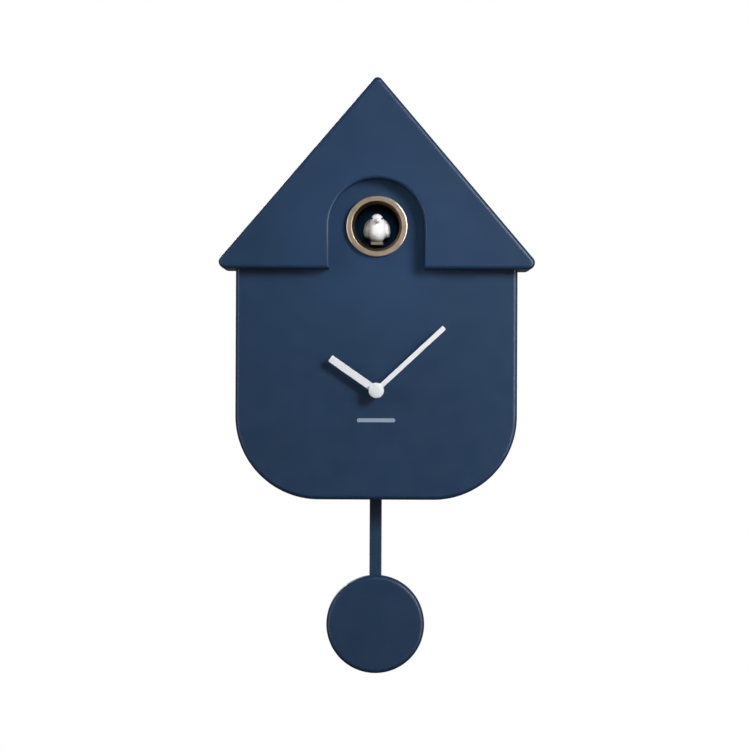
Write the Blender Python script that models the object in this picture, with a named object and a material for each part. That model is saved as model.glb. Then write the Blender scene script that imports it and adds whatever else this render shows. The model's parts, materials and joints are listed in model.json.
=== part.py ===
"""Modern cuckoo clock, built as an assembly.

A house-shaped plastic case hangs on a wall. A raised roof moulding with an arched cut-out caps it,
and a small bird slides out of a round port in the arch. Two hands turn on the front, and a flat
pendulum swings below the case.

Frame: metres, +Z up, the front faces -Y and the wall is the plane Y = 0. The origin is on the wall
plane, straight behind the hands' shaft. "Forward" below means towards -Y.
"""

import math

import bmesh
import bpy
from mathutils import Matrix, Vector

# ---------------------------------------------------------------- driving dimensions
WALL = 0.0025  # moulded shell wall
GAP = 0.0003  # between two fixed pieces that meet
RUN = 0.0003  # radial clearance of a shaft in its bearing
EDGE_R = 0.003  # rounding of the front edges

ROOF_FRONT = -0.085
ROOF_EAVE_Z = 0.0832
ROOF_APEX_Z = 0.2166  # where the two slopes would meet
ROOF_HALF = 0.1139  # where a slope would meet the eave line
ROOF_APEX_R = 0.0038
ROOF_EAVE_R = 0.0047

BODY_FRONT = -0.073
BODY_HALF = 0.0968
BODY_BOTTOM_Z = -0.0751
BODY_CORNER_R = 0.0574

PORT_Z = 0.1128  # height of the bird's port and of the arch's centre
ARCH_R = 0.0326
PORT_BORE_R = 0.0154
RING_R = 0.0211
RING_FRONT = -0.0763

HOUR_LENGTH, HOUR_WIDTH, HOUR_ANGLE = 0.0386, 0.0052, -55.2
MINUTE_LENGTH, MINUTE_WIDTH, MINUTE_ANGLE = 0.0635, 0.0034, 47.0
HUB_R = 0.0053

PIVOT_Z = 0.016  # height of the pendulum's pivot
ROD_Y = -0.045  # middle of the pendulum rod's thickness
ROD_WIDTH = 0.0084
ROD_THICK = 0.0030
BOB_Z = -0.1619
BOB_R = 0.0339
BOB_THICK = 0.012

BIRD_Y = -0.059  # middle of the bird's body when it is in

FRONT_WALL_IN = BODY_FRONT + WALL
COVER_IN = -WALL
SLOPE = math.atan2(ROOF_APEX_Z - ROOF_EAVE_Z, ROOF_HALF)

AXES = {
    "X": lambda u, v, w: (w, u, v),
    "Y": lambda u, v, w: (u, w, v),
    "Z": lambda u, v, w: (u, v, w),
}

MATERIALS = {
    "case_blue": ((0.023, 0.047, 0.095), 0.55, 0.0),
    "ring_gold": ((0.62, 0.40, 0.14), 0.30, 1.0),
    "hand_white": ((0.82, 0.83, 0.85), 0.40, 0.0),
    "bird_white": ((0.82, 0.83, 0.85), 0.50, 0.0),
    "perch_brown": ((0.14, 0.11, 0.085), 0.60, 0.0),
    "black_plastic": ((0.012, 0.012, 0.014), 0.50, 0.0),
    "gear_plastic": ((0.75, 0.74, 0.68), 0.45, 0.0),
    "steel": ((0.55, 0.56, 0.58), 0.30, 1.0),
    "brass": ((0.62, 0.45, 0.18), 0.30, 1.0),
    "copper_wire": ((0.55, 0.22, 0.10), 0.40, 0.6),
    "board_green": ((0.02, 0.14, 0.06), 0.50, 0.0),
    "speaker_paper": ((0.04, 0.04, 0.045), 0.90, 0.0),
    "cell_wrap": ((0.10, 0.11, 0.12), 0.35, 0.0),
}


# ---------------------------------------------------------------- solid-building helpers
def new_solid(bm):
    """An object from a bmesh, with its normals facing out and its material still to come."""
    bmesh.ops.remove_doubles(bm, verts=bm.verts, dist=1e-7)
    bmesh.ops.recalc_face_normals(bm, faces=bm.faces)
    mesh = bpy.data.meshes.new("solid")
    bm.to_mesh(mesh)
    bm.free()
    obj = bpy.data.objects.new("solid", mesh)
    bpy.context.scene.collection.objects.link(obj)
    return obj


def boolean(target, tool, operation):
    """Joins the tool to the target or cuts it away, and removes the tool."""
    modifier = target.modifiers.new(operation.title(), "BOOLEAN")
    modifier.operation = operation
    modifier.object = tool
    bpy.context.view_layer.update()
    graph = bpy.context.evaluated_depsgraph_get()
    mesh = bpy.data.meshes.new_from_object(target.evaluated_get(graph))
    target.modifiers.clear()
    target.data = mesh
    bpy.data.objects.remove(tool)
    return target


def cut(target, *tools):
    for tool in tools:
        boolean(target, tool, "DIFFERENCE")
    return target


def join(target, *tools):
    for tool in tools:
        boolean(target, tool, "UNION")
    return target


def prism(outline, w0, w1, axis="Y", bevel=0.0, segments=3):
    """An outline of (u, v) points extruded from w0 to w1, with the edges of its w0 end rounded."""
    to_world = AXES[axis]
    bm = bmesh.new()
    near = [bm.verts.new(to_world(u, v, w0)) for u, v in outline]
    face = bm.faces.new(near)
    grown = bmesh.ops.extrude_face_region(bm, geom=[face])["geom"]
    shift = Vector(to_world(0, 0, w1 - w0))
    bmesh.ops.translate(bm, verts=[g for g in grown if isinstance(g, bmesh.types.BMVert)], vec=shift)
    if bevel:
        rim = set(near)
        edges = [e for e in bm.edges if e.verts[0] in rim and e.verts[1] in rim]
        bmesh.ops.recalc_face_normals(bm, faces=bm.faces)
        bmesh.ops.bevel(
            bm, geom=edges, offset=bevel, segments=segments, profile=0.5, affect="EDGES"
        )
    return new_solid(bm)


def block(low, high):
    """A box between two opposite corners."""
    bm = bmesh.new()
    size = Vector(high) - Vector(low)
    place = Matrix.Translation((Vector(low) + Vector(high)) / 2) @ Matrix.Diagonal((*size, 1))
    bmesh.ops.create_cube(bm, size=1, matrix=place)
    return new_solid(bm)


def circle(u, v, radius, steps, start=0.0):
    return [
        (
            u + radius * math.cos(start + 2 * math.pi * k / steps),
            v + radius * math.sin(start + 2 * math.pi * k / steps),
        )
        for k in range(steps)
    ]


def rod(u, v, radius, w0, w1, steps=12, axis="Y"):
    """A round bar along an axis, with its centre line at (u, v)."""
    return prism(circle(u, v, radius, steps, math.pi / steps), w0, w1, axis)


def turned(profile, u, v, steps, axis="Y"):
    """A profile of (radius, w) points spun about an axis through (u, v). It is a closed loop, or runs
    from the axis back to the axis."""
    to_world = AXES[axis]
    bm = bmesh.new()
    verts = [bm.verts.new(to_world(u + r, v, w)) for r, w in profile]
    edges = [bm.edges.new(pair) for pair in zip(verts, verts[1:])]
    if profile[0][0] > 0:
        edges.append(bm.edges.new((verts[-1], verts[0])))
    bmesh.ops.spin(
        bm,
        geom=verts + edges,
        cent=to_world(u, v, 0),
        axis=to_world(0, 0, 1),
        angle=2 * math.pi,
        steps=steps,
        use_merge=True,
    )
    return new_solid(bm)


def ball(centre, radii, segments=12, rings=8):
    """An ellipsoid."""
    bm = bmesh.new()
    place = Matrix.Translation(centre) @ Matrix.Diagonal((*radii, 1))
    bmesh.ops.create_uvsphere(bm, u_segments=segments, v_segments=rings, radius=1, matrix=place)
    return new_solid(bm)


def rounded(corners, inset=0.0, least=0.0004):
    """A convex outline, given anticlockwise as (x, z, radius, steps), moved inwards by inset with its
    corners rounded."""
    count = len(corners)
    points = [Vector(c[:2]) for c in corners]
    lines = []
    for k, a in enumerate(points):
        along = (points[(k + 1) % count] - a).normalized()
        lines.append((a + Vector((-along.y, along.x)) * inset, along))
    outline = []
    for k in range(count):
        (a, da), (b, db) = lines[k - 1], lines[k]
        reach = (b - a).cross(db) / da.cross(db)
        corner = a + da * reach
        radius = max(corners[k][2] - inset, least)
        steps = corners[k][3]
        turn = da.angle(db)
        side = Vector((-da.y, da.x))
        centre = corner - da * radius * math.tan(turn / 2) + side * radius
        start = math.atan2(-side.y, -side.x)
        outline += [
            (
                centre.x + radius * math.cos(start + turn * s / steps),
                centre.y + radius * math.sin(start + turn * s / steps),
            )
            for s in range(steps + 1)
        ]
    return outline


def gear_outline(teeth, module, u, v, phase):
    """Straight-sided teeth, thin enough to run with plenty of backlash. The first tooth points at the
    phase angle."""
    pitch_r = teeth * module / 2
    tip_r = pitch_r + 0.9 * module
    root_r = pitch_r - 1.25 * module
    pitch = 2 * math.pi / teeth
    half = 0.40 * pitch / 2
    half_tip = 0.6 * half * pitch_r / tip_r
    half_root = min(1.15 * half * pitch_r / root_r, 0.42 * pitch)
    outline = []
    for k in range(teeth):
        middle = phase + k * pitch
        for r, angle in (
            (root_r, middle - half_root),
            (tip_r, middle - half_tip),
            (tip_r, middle + half_tip),
            (root_r, middle + half_root),
        ):
            outline.append((u + r * math.cos(angle), v + r * math.sin(angle)))
    return outline


def meshing_phase(first, second):
    """The phase that puts the second gear in mesh with the first. Each is (u, v, teeth, phase)."""
    towards = math.atan2(second[1] - first[1], second[0] - first[0])
    half_tooth = math.pi / second[2]
    return towards + math.pi + half_tooth + (towards - first[3]) * first[2] / second[2]


def named(obj, name, material, smooth=True):
    """Gives a finished solid its node name and its material."""
    obj.name = obj.data.name = name
    if material not in bpy.data.materials:
        made = bpy.data.materials.new(material)
        made.use_nodes = True
        shader = made.node_tree.nodes["Principled BSDF"]
        colour, roughness, metallic = MATERIALS[material]
        shader.inputs["Base Color"].default_value = (*colour, 1)
        shader.inputs["Roughness"].default_value = roughness
        shader.inputs["Metallic"].default_value = metallic
    obj.data.materials.clear()
    obj.data.materials.append(bpy.data.materials[material])
    if smooth:
        obj.data.shade_smooth()
        obj.data.set_sharp_from_angle(angle=math.radians(35))
    return obj


def on_joint(name, place, *pieces):
    """Hangs the pieces that move together on an empty that stands on their joint's axis."""
    empty = bpy.data.objects.new(name, None)
    empty.location = place
    bpy.context.scene.collection.objects.link(empty)
    bpy.context.view_layer.update()
    for piece in pieces:
        piece.parent = empty
        piece.matrix_parent_inverse = empty.matrix_world.inverted()


# ---------------------------------------------------------------- case
ROOF_CORNERS = [
    (-ROOF_HALF, ROOF_EAVE_Z, ROOF_EAVE_R, 5),
    (ROOF_HALF, ROOF_EAVE_Z, ROOF_EAVE_R, 5),
    (0.0, ROOF_APEX_Z, ROOF_APEX_R, 4),
]
GABLE_INSET = (WALL + 2 * GAP) / math.cos(SLOPE)  # drop of the body's gable below the roof's slope
GABLE_Z = ROOF_APEX_Z - GABLE_INSET
SHOULDER_Z = GABLE_Z - BODY_HALF * math.tan(SLOPE)
BODY_CORNERS = [
    (-BODY_HALF, BODY_BOTTOM_Z, BODY_CORNER_R, 14),
    (BODY_HALF, BODY_BOTTOM_Z, BODY_CORNER_R, 14),
    (BODY_HALF, SHOULDER_Z, 0.0036, 2),
    (0.0, GABLE_Z, 0.0036, 3),
    (-BODY_HALF, SHOULDER_Z, 0.0036, 2),
]
COVER_SCREWS = [(-0.089, 0.040), (0.089, 0.040), (-0.050, -0.065), (0.050, -0.065), (0, 0.196)]
MOVEMENT_SCREWS = [(-0.0365, 0.0), (0.0385, 0.0)]
FRAME_SCREWS = [(0.0, 0.0887), (0.044, 0.091)]
SLOT_HALF = 0.0175  # half length of the pendulum's slot
SLOT_Y = (ROD_Y - 0.005, ROD_Y + 0.005)


def arch(radius, bottom):
    """A round-topped doorway, as an outline."""
    top = [
        (radius * math.cos(math.pi * k / 20), PORT_Z + radius * math.sin(math.pi * k / 20))
        for k in range(21)
    ]
    return [(radius, bottom)] + top + [(-radius, bottom)]


def make_body_shell():
    shell = prism(rounded(BODY_CORNERS), BODY_FRONT, 0.0, bevel=EDGE_R)
    cut(
        shell,
        prism(rounded(BODY_CORNERS, WALL), FRONT_WALL_IN, 0.001),
        rod(0, PORT_Z, 0.0182, BODY_FRONT - 0.002, FRONT_WALL_IN + 0.001, 40),
        rod(0, 0, 0.0045, BODY_FRONT - 0.002, FRONT_WALL_IN + 0.001, 16),
        block(
            (-SLOT_HALF, SLOT_Y[0], BODY_BOTTOM_Z - 0.002),
            (SLOT_HALF, SLOT_Y[1], BODY_BOTTOM_Z + WALL + 0.001),
        ),
    )
    root = FRONT_WALL_IN - 0.001
    for x, z in COVER_SCREWS:
        join(shell, rod(x, z, 0.004, root, COVER_IN - GAP))
        cut(shell, rod(x, z, 0.0017, -0.016, 0.0, 8))
    for x, z in MOVEMENT_SCREWS:
        join(shell, rod(x, z, 0.0035, root, -0.0623))
        cut(shell, rod(x, z, 0.0014, -0.0698, -0.060, 8))
    for x, z in FRAME_SCREWS:
        join(shell, rod(x, z, 0.0030, root, -0.0663))
        cut(shell, rod(x, z, 0.0014, -0.0698, -0.064, 8))
    return named(shell, "body_shell", "case_blue")


def make_roof_shell():
    roof = prism(rounded(ROOF_CORNERS), ROOF_FRONT, 0.0, bevel=EDGE_R)
    hollow = prism(rounded(ROOF_CORNERS, WALL), ROOF_FRONT + WALL, -WALL)
    cut(hollow, prism(arch(ARCH_R + WALL, ROOF_EAVE_Z - 0.01), ROOF_FRONT, BODY_FRONT - GAP))
    cut(roof, hollow)
    cut(roof, prism(rounded(BODY_CORNERS, -GAP), BODY_FRONT - GAP, 0.001))
    cut(roof, prism(arch(ARCH_R, ROOF_EAVE_Z - 0.01), ROOF_FRONT - 0.001, BODY_FRONT + 0.001))
    return named(roof, "roof_shell", "case_blue")


KEYHOLE_Z = 0.146
KEYHOLE_R, KEYHOLE_SLOT_HALF, KEYHOLE_TOP_Z = 0.005, 0.0026, 0.156
DOOR_LOW, DOOR_HIGH = (-0.0807, -0.0307), (-0.0283, 0.0307)
DOOR_GAP, DOOR_HINGE_GAP = 0.0004, 0.0008
HINGE_Y, HINGE_Z = -0.00125, -0.0295
SET_X = 0.0255  # the setting stem's axis, from the gear train
WELL_R, WELL_DEPTH = 0.016, 0.014
SPEAKER_X, SPEAKER_Z, SPEAKER_R = 0.055, -0.028, 0.020
SWITCH_X, SWITCH_Z, SWITCH_SLOT_HALF = 0.040, 0.052, 0.0065
BUTTON_X, BUTTON_Z, BUTTON_R = 0.064, 0.052, 0.0040


def make_rear_cover():
    cover = prism(rounded(BODY_CORNERS, WALL + GAP), COVER_IN, 0.0)
    join(
        cover,
        rod(SET_X, 0, WELL_R + 0.0015, -WELL_DEPTH, -0.001, 24),
        rod(0.0790, 0.0625, 0.003, -0.0101, -0.001),
        rod(0.0305, 0.0415, 0.003, -0.0101, -0.001),
    )
    cut(
        cover,
        rod(SET_X, 0, WELL_R, -WELL_DEPTH + 0.0015, 0.001, 24),
        rod(SET_X, 0, 0.0022, -WELL_DEPTH - 0.001, 0.0, 12),
        rod(0, KEYHOLE_Z, KEYHOLE_R, -0.004, 0.001, 16),
        block((-KEYHOLE_SLOT_HALF, -0.004, KEYHOLE_Z), (KEYHOLE_SLOT_HALF, 0.001, KEYHOLE_TOP_Z)),
        block(
            (DOOR_LOW[0] - DOOR_GAP, -0.004, DOOR_LOW[1] - DOOR_HINGE_GAP),
            (DOOR_HIGH[0] + DOOR_GAP, 0.001, DOOR_HIGH[1] + DOOR_GAP),
        ),
        rod(HINGE_Y, HINGE_Z, 0.0009, DOOR_LOW[0] - 0.0018, DOOR_HIGH[0] + 0.0018, 8, "X"),
        block(
            (SWITCH_X - SWITCH_SLOT_HALF, -0.004, SWITCH_Z - 0.0024),
            (SWITCH_X + SWITCH_SLOT_HALF, 0.001, SWITCH_Z + 0.0024),
        ),
        rod(BUTTON_X, BUTTON_Z, BUTTON_R + RUN, -0.004, 0.001, 16),
    )
    for k in range(-2, 3):
        x = SPEAKER_X + 0.006 * k
        half = math.sqrt(0.0165**2 - (0.006 * k) ** 2)
        cut(
            cover,
            block((x - 0.0012, -0.004, SPEAKER_Z - half), (x + 0.0012, 0.001, SPEAKER_Z + half)),
        )
    for x, z in COVER_SCREWS:
        cut(cover, rod(x, z, 0.0017, -0.004, 0.001, 8), rod(x, z, 0.0034, -0.0015, 0.001, 12))
    return named(cover, "rear_cover", "case_blue")


def make_screw(name, x, z, seat, length, head_r, shank_r):
    """A pan-head screw whose head stands behind the face at Y = seat and whose shank runs forward."""
    head = 0.0010 if head_r > 0.003 else 0.0013
    profile = [
        (0, seat + GAP + head),
        (head_r * 0.8, seat + GAP + head),
        (head_r, seat + GAP + head * 0.5),
        (head_r, seat + GAP),
        (shank_r, seat + GAP),
        (shank_r, seat - length + 0.001),
        (0, seat - length),
    ]
    return named(turned(profile, x, z, 12), name, "steel")


def make_ring_and_tunnel():
    ring = turned(
        [
            (RING_R, BODY_FRONT - GAP),
            (RING_R, RING_FRONT + 0.0006),
            (RING_R - 0.0006, RING_FRONT),
            (0.0174, RING_FRONT),
            (PORT_BORE_R, -0.0706),
            (0.0179, -0.0706),
            (0.0179, BODY_FRONT - GAP),
        ],
        0,
        PORT_Z,
        40,
    )
    tunnel = turned(
        [
            (PORT_BORE_R, FRONT_WALL_IN + GAP),
            (PORT_BORE_R, -0.057),
            (PORT_BORE_R + 0.0015, -0.057),
            (PORT_BORE_R + 0.0015, FRONT_WALL_IN + 0.0015),
            (0.0203, FRONT_WALL_IN + 0.0015),
            (0.0203, FRONT_WALL_IN + GAP),
        ],
        0,
        PORT_Z,
        32,
    )
    return named(ring, "port_ring", "ring_gold"), named(tunnel, "bird_tunnel", "black_plastic")


# ---------------------------------------------------------------- quartz movement
MOVE_LOW, MOVE_HIGH = (-0.032, -0.022), (0.034, 0.022)
MOVE_FRONT, MOVE_SPLIT, MOVE_BACK = -0.0702, -0.0603, -0.0540
MOVE_WALL = 0.0014

# motion work, in module and teeth
MOTION_M, HOUR_M = 0.0005, 0.00048
CANNON_T, MINUTE_T, MINUTE_PINION_T, HOUR_T, SET_T = 12, 36, 10, 40, 18
MINUTE_X = (CANNON_T + MINUTE_T) * MOTION_M / 2

# going train: each wheel drives the next one's pinion
TRAIN_M, FAST_M = 0.0004, 0.00022
CENTRE_T, THIRD_PINION_T, THIRD_T, FOURTH_PINION_T = 48, 6, 45, 6
FOURTH_T, INTER_PINION_T, INTER_T, ROTOR_PINION_T = 30, 8, 48, 6


def step_from(place, distance, degrees):
    angle = math.radians(degrees)
    return (place[0] + distance * math.cos(angle), place[1] + distance * math.sin(angle))


THIRD = step_from((0, 0), (CENTRE_T + THIRD_PINION_T) * TRAIN_M / 2, 150)
FOURTH = step_from(THIRD, (THIRD_T + FOURTH_PINION_T) * TRAIN_M / 2, 230)
INTER = step_from(FOURTH, (FOURTH_T + INTER_PINION_T) * TRAIN_M / 2, 180)
ROTOR = step_from(INTER, (INTER_T + ROTOR_PINION_T) * FAST_M / 2, 90)
MAGNET_Z = -0.012  # the pendulum magnet and its drive coil


def make_movement_case():
    front = block(
        (MOVE_LOW[0], MOVE_FRONT, MOVE_LOW[1]), (MOVE_HIGH[0], MOVE_SPLIT - GAP, MOVE_HIGH[1])
    )
    cut(
        front,
        block(
            (MOVE_LOW[0] + MOVE_WALL, MOVE_FRONT + MOVE_WALL, MOVE_LOW[1] + MOVE_WALL),
            (MOVE_HIGH[0] - MOVE_WALL, 0, MOVE_HIGH[1] - MOVE_WALL),
        ),
        rod(0, 0, 0.0038, -0.072, -0.068, 16),
    )
    back = block((MOVE_LOW[0], MOVE_SPLIT, MOVE_LOW[1]), (MOVE_HIGH[0], MOVE_BACK, MOVE_HIGH[1]))
    cut(
        back,
        block(
            (MOVE_LOW[0] + MOVE_WALL, -0.08, MOVE_LOW[1] + MOVE_WALL),
            (MOVE_HIGH[0] - MOVE_WALL, MOVE_BACK - MOVE_WALL, MOVE_HIGH[1] - MOVE_WALL),
        ),
    )
    for x, z in MOVEMENT_SCREWS:
        inner = MOVE_LOW[0] + 0.0006 if x < 0 else MOVE_HIGH[0] - 0.0006
        ear = block((min(inner, x * 1.1), -0.0600, -0.004), (max(inner, x * 1.1), -0.0585, 0.004))
        join(back, ear)
        cut(back, rod(x, z, 0.0014, -0.062, -0.057, 8))
    join(back, rod(0, PIVOT_Z, 0.003, MOVE_BACK - 0.0006, -0.0502))
    cut(back, rod(0, PIVOT_Z, 0.0013, -0.0535, -0.049, 12))
    for x, z, radius in (
        (0, 0, 0.0010),
        (MINUTE_X, 0, 0.0006),
        (SET_X, 0, 0.0015),
        (*THIRD, 0.0006),
        (*FOURTH, 0.0006),
        (*INTER, 0.0005),
        (*ROTOR, 0.0004),
    ):
        cut(back, rod(x, z, radius + RUN, -0.057, -0.053, 8))
        if (x, z) != (0, 0):
            cut(front, rod(x, z, min(radius, 0.0006) + RUN, -0.0693, -0.068, 8))
    return (
        named(front, "movement_front", "black_plastic", smooth=False),
        named(back, "movement_back", "black_plastic", smooth=False),
    )


def make_motion_work():
    """The shafts and wheels that carry the two hands and the setting stem."""
    bush = turned(
        [
            (0.0029, MOVE_FRONT + MOVE_WALL - 0.0001),
            (0.0029, -0.0778),
            (0.0035, -0.0778),
            (0.0035, MOVE_FRONT + MOVE_WALL - 0.0001),
        ],
        0,
        0,
        16,
    )
    named(bush, "shaft_bush", "brass")

    cannon = (0, 0, CANNON_T, 0.0)
    minute = (MINUTE_X, 0, MINUTE_T, 0.0)
    minute = (*minute[:3], meshing_phase(cannon, minute))
    pinion = (MINUTE_X, 0, MINUTE_PINION_T, 0.0)
    hour = (0, 0, HOUR_T, 0.0)
    hour = (*hour[:3], meshing_phase(pinion, hour))
    setter = (SET_X, 0, SET_T, 0.0)
    setter = (*setter[:3], meshing_phase(minute, setter))

    arbor = rod(0, 0, 0.0010, -0.0836, MOVE_BACK - GAP, 12)
    join(arbor, prism(gear_outline(CANNON_T, MOTION_M, 0, 0, 0.0), -0.0665, -0.0649))
    named(arbor, "minute_arbor", "brass")

    hour_wheel = prism(gear_outline(HOUR_T, HOUR_M, 0, 0, hour[3]), -0.0681, -0.0669)
    join(hour_wheel, rod(0, 0, 0.0025, -0.0805, -0.0675, 16))
    cut(hour_wheel, rod(0, 0, 0.0014, -0.082, -0.066, 12))
    named(hour_wheel, "hour_wheel", "gear_plastic")

    minute_wheel = prism(gear_outline(MINUTE_T, MOTION_M, MINUTE_X, 0, minute[3]), -0.0665, -0.0652)
    teeth = gear_outline(MINUTE_PINION_T, HOUR_M, MINUTE_X, 0, 0.0)
    join(
        minute_wheel,
        prism(teeth, -0.0683, -0.0660),
        rod(MINUTE_X, 0, 0.0006, -0.0691, MOVE_BACK - GAP, 8),
    )
    named(minute_wheel, "minute_wheel", "gear_plastic")

    stem = prism(gear_outline(SET_T, MOTION_M, SET_X, 0, setter[3]), -0.0665, -0.0650)
    join(
        stem,
        rod(SET_X, 0, 0.0015, -0.0658, -0.0030, 12),
        rod(SET_X, 0, 0.0006, -0.0691, -0.0660, 8),
    )
    named(stem, "set_stem", "steel")

    knob = prism(circle(SET_X, 0, 0.0075, 20), -0.0110, -0.0012)
    for k in range(10):
        groove = step_from((SET_X, 0), 0.0078, 36 * k)
        cut(knob, rod(*groove, 0.0009, -0.0120, 0.0, 6))
    cut(knob, rod(SET_X, 0, 0.0018, -0.012, -0.0027, 12))
    named(knob, "set_knob", "black_plastic", smooth=False)
    return arbor, hour_wheel, minute_wheel, stem, knob


def make_going_train():
    """The wheels from the stepping rotor down to the centre wheel, which slips on the minute arbor
    when the hands are set."""
    centre = (0, 0, CENTRE_T, 0.0)
    third_pinion = (*THIRD, THIRD_PINION_T, meshing_phase(centre, (*THIRD, THIRD_PINION_T)))
    third = (*THIRD, THIRD_T, 0.0)
    fourth_pinion = (*FOURTH, FOURTH_PINION_T, meshing_phase(third, (*FOURTH, FOURTH_PINION_T)))
    fourth = (*FOURTH, FOURTH_T, 0.0)
    inter_pinion = (*INTER, INTER_PINION_T, meshing_phase(fourth, (*INTER, INTER_PINION_T)))
    inter = (*INTER, INTER_T, 0.0)
    rotor_pinion = (*ROTOR, ROTOR_PINION_T, meshing_phase(inter, (*ROTOR, ROTOR_PINION_T)))

    def toothed(gear, module, y0, y1):
        u, v, teeth, phase = gear
        return prism(gear_outline(teeth, module, u, v, phase), y0, y1)

    def arbor(place, radius):
        return rod(*place, radius, -0.0691, MOVE_BACK - GAP, 8)

    centre_wheel = toothed(centre, TRAIN_M, -0.0644, -0.0634)
    join(centre_wheel, rod(0, 0, 0.0024, -0.0640, -0.0626, 12))
    cut(centre_wheel, rod(0, 0, 0.0013, -0.066, -0.061, 12))
    third_wheel = toothed(third, TRAIN_M, -0.0625, -0.0615)
    join(third_wheel, toothed(third_pinion, TRAIN_M, -0.0648, -0.0620), arbor(THIRD, 0.0006))
    fourth_wheel = toothed(fourth, TRAIN_M, -0.0606, -0.0596)
    join(fourth_wheel, toothed(fourth_pinion, TRAIN_M, -0.0629, -0.0600), arbor(FOURTH, 0.0006))
    inter_wheel = toothed(inter, FAST_M, -0.0586, -0.0578)
    join(inter_wheel, toothed(inter_pinion, TRAIN_M, -0.0610, -0.0582), arbor(INTER, 0.0005))
    rotor = rod(*ROTOR, 0.0022, -0.0642, -0.0612, 16)
    join(rotor, toothed(rotor_pinion, FAST_M, -0.0590, -0.0574), arbor(ROTOR, 0.0004))
    return (
        named(centre_wheel, "centre_wheel", "gear_plastic"),
        named(third_wheel, "third_wheel", "gear_plastic"),
        named(fourth_wheel, "fourth_wheel", "gear_plastic"),
        named(inter_wheel, "intermediate_wheel", "gear_plastic"),
        named(rotor, "step_rotor", "steel"),
    )


def make_step_motor():
    stator = block((-0.0300, -0.0636, -0.0015), (-0.0192, -0.0628, 0.0190))
    join(stator, block((-0.0202, -0.0636, 0.0160), (-0.0020, -0.0628, 0.0190)))
    cut(stator, rod(*ROTOR, 0.0028, -0.065, -0.061, 16))
    coil = block((-0.0180, -0.0655, 0.0152), (-0.0045, -0.0609, 0.0203))
    cut(coil, block((-0.0190, -0.0639, 0.0157), (-0.0035, -0.0625, 0.0193)))
    board = block((-0.0295, -0.0600, -0.0202), (0.0080, -0.0590, -0.0118))
    join(board, block((-0.0100, -0.0595, -0.0185), (-0.0040, -0.0576, -0.0135)))
    join(board, block((-0.0270, -0.0595, -0.0175), (-0.0200, -0.0570, -0.0145)))
    named(stator, "stator", "steel", smooth=False)
    named(coil, "step_coil", "copper_wire", smooth=False)
    named(board, "quartz_board", "board_green", smooth=False)


# ---------------------------------------------------------------- hands
def blade(length, width, start, degrees):
    """A straight hand from the shaft outwards, turned clockwise from twelve by degrees."""
    half = width / 2
    tip = 0.0006
    shape = [
        (-half, start),
        (half, start),
        (half, length - tip),
        (half - tip, length),
        (-half + tip, length),
        (-half, length - tip),
    ]
    turn = math.radians(-degrees)
    return [
        (x * math.cos(turn) - z * math.sin(turn), x * math.sin(turn) + z * math.cos(turn))
        for x, z in shape
    ]


def make_hands():
    hour = rod(0, 0, 0.0049, -0.0800, -0.0790, 24)
    join(hour, prism(blade(HOUR_LENGTH, HOUR_WIDTH, 0.002, HOUR_ANGLE), -0.0800, -0.0790))
    cut(hour, rod(0, 0, 0.0028, -0.082, -0.077, 16))
    minute = rod(0, 0, 0.0046, -0.0823, -0.0813, 24)
    join(minute, prism(blade(MINUTE_LENGTH, MINUTE_WIDTH, 0.002, MINUTE_ANGLE), -0.0823, -0.0813))
    cut(minute, rod(0, 0, 0.0013, -0.084, -0.080, 12))
    cap = turned(
        [
            (0, -0.0846),
            (HUB_R * 0.7, -0.0843),
            (HUB_R, -0.0836),
            (HUB_R, -0.0826),
            (0.0013, -0.0826),
            (0.0013, -0.0839),
            (0, -0.0839),
        ],
        0,
        0,
        24,
    )
    return (
        named(hour, "hour_hand", "hand_white"),
        named(minute, "minute_hand", "hand_white"),
        named(cap, "hand_cap", "hand_white"),
    )


# ---------------------------------------------------------------- pendulum
HANGER_Y = (-0.0495, -0.0468)
PEG_Z = -0.022


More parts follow.
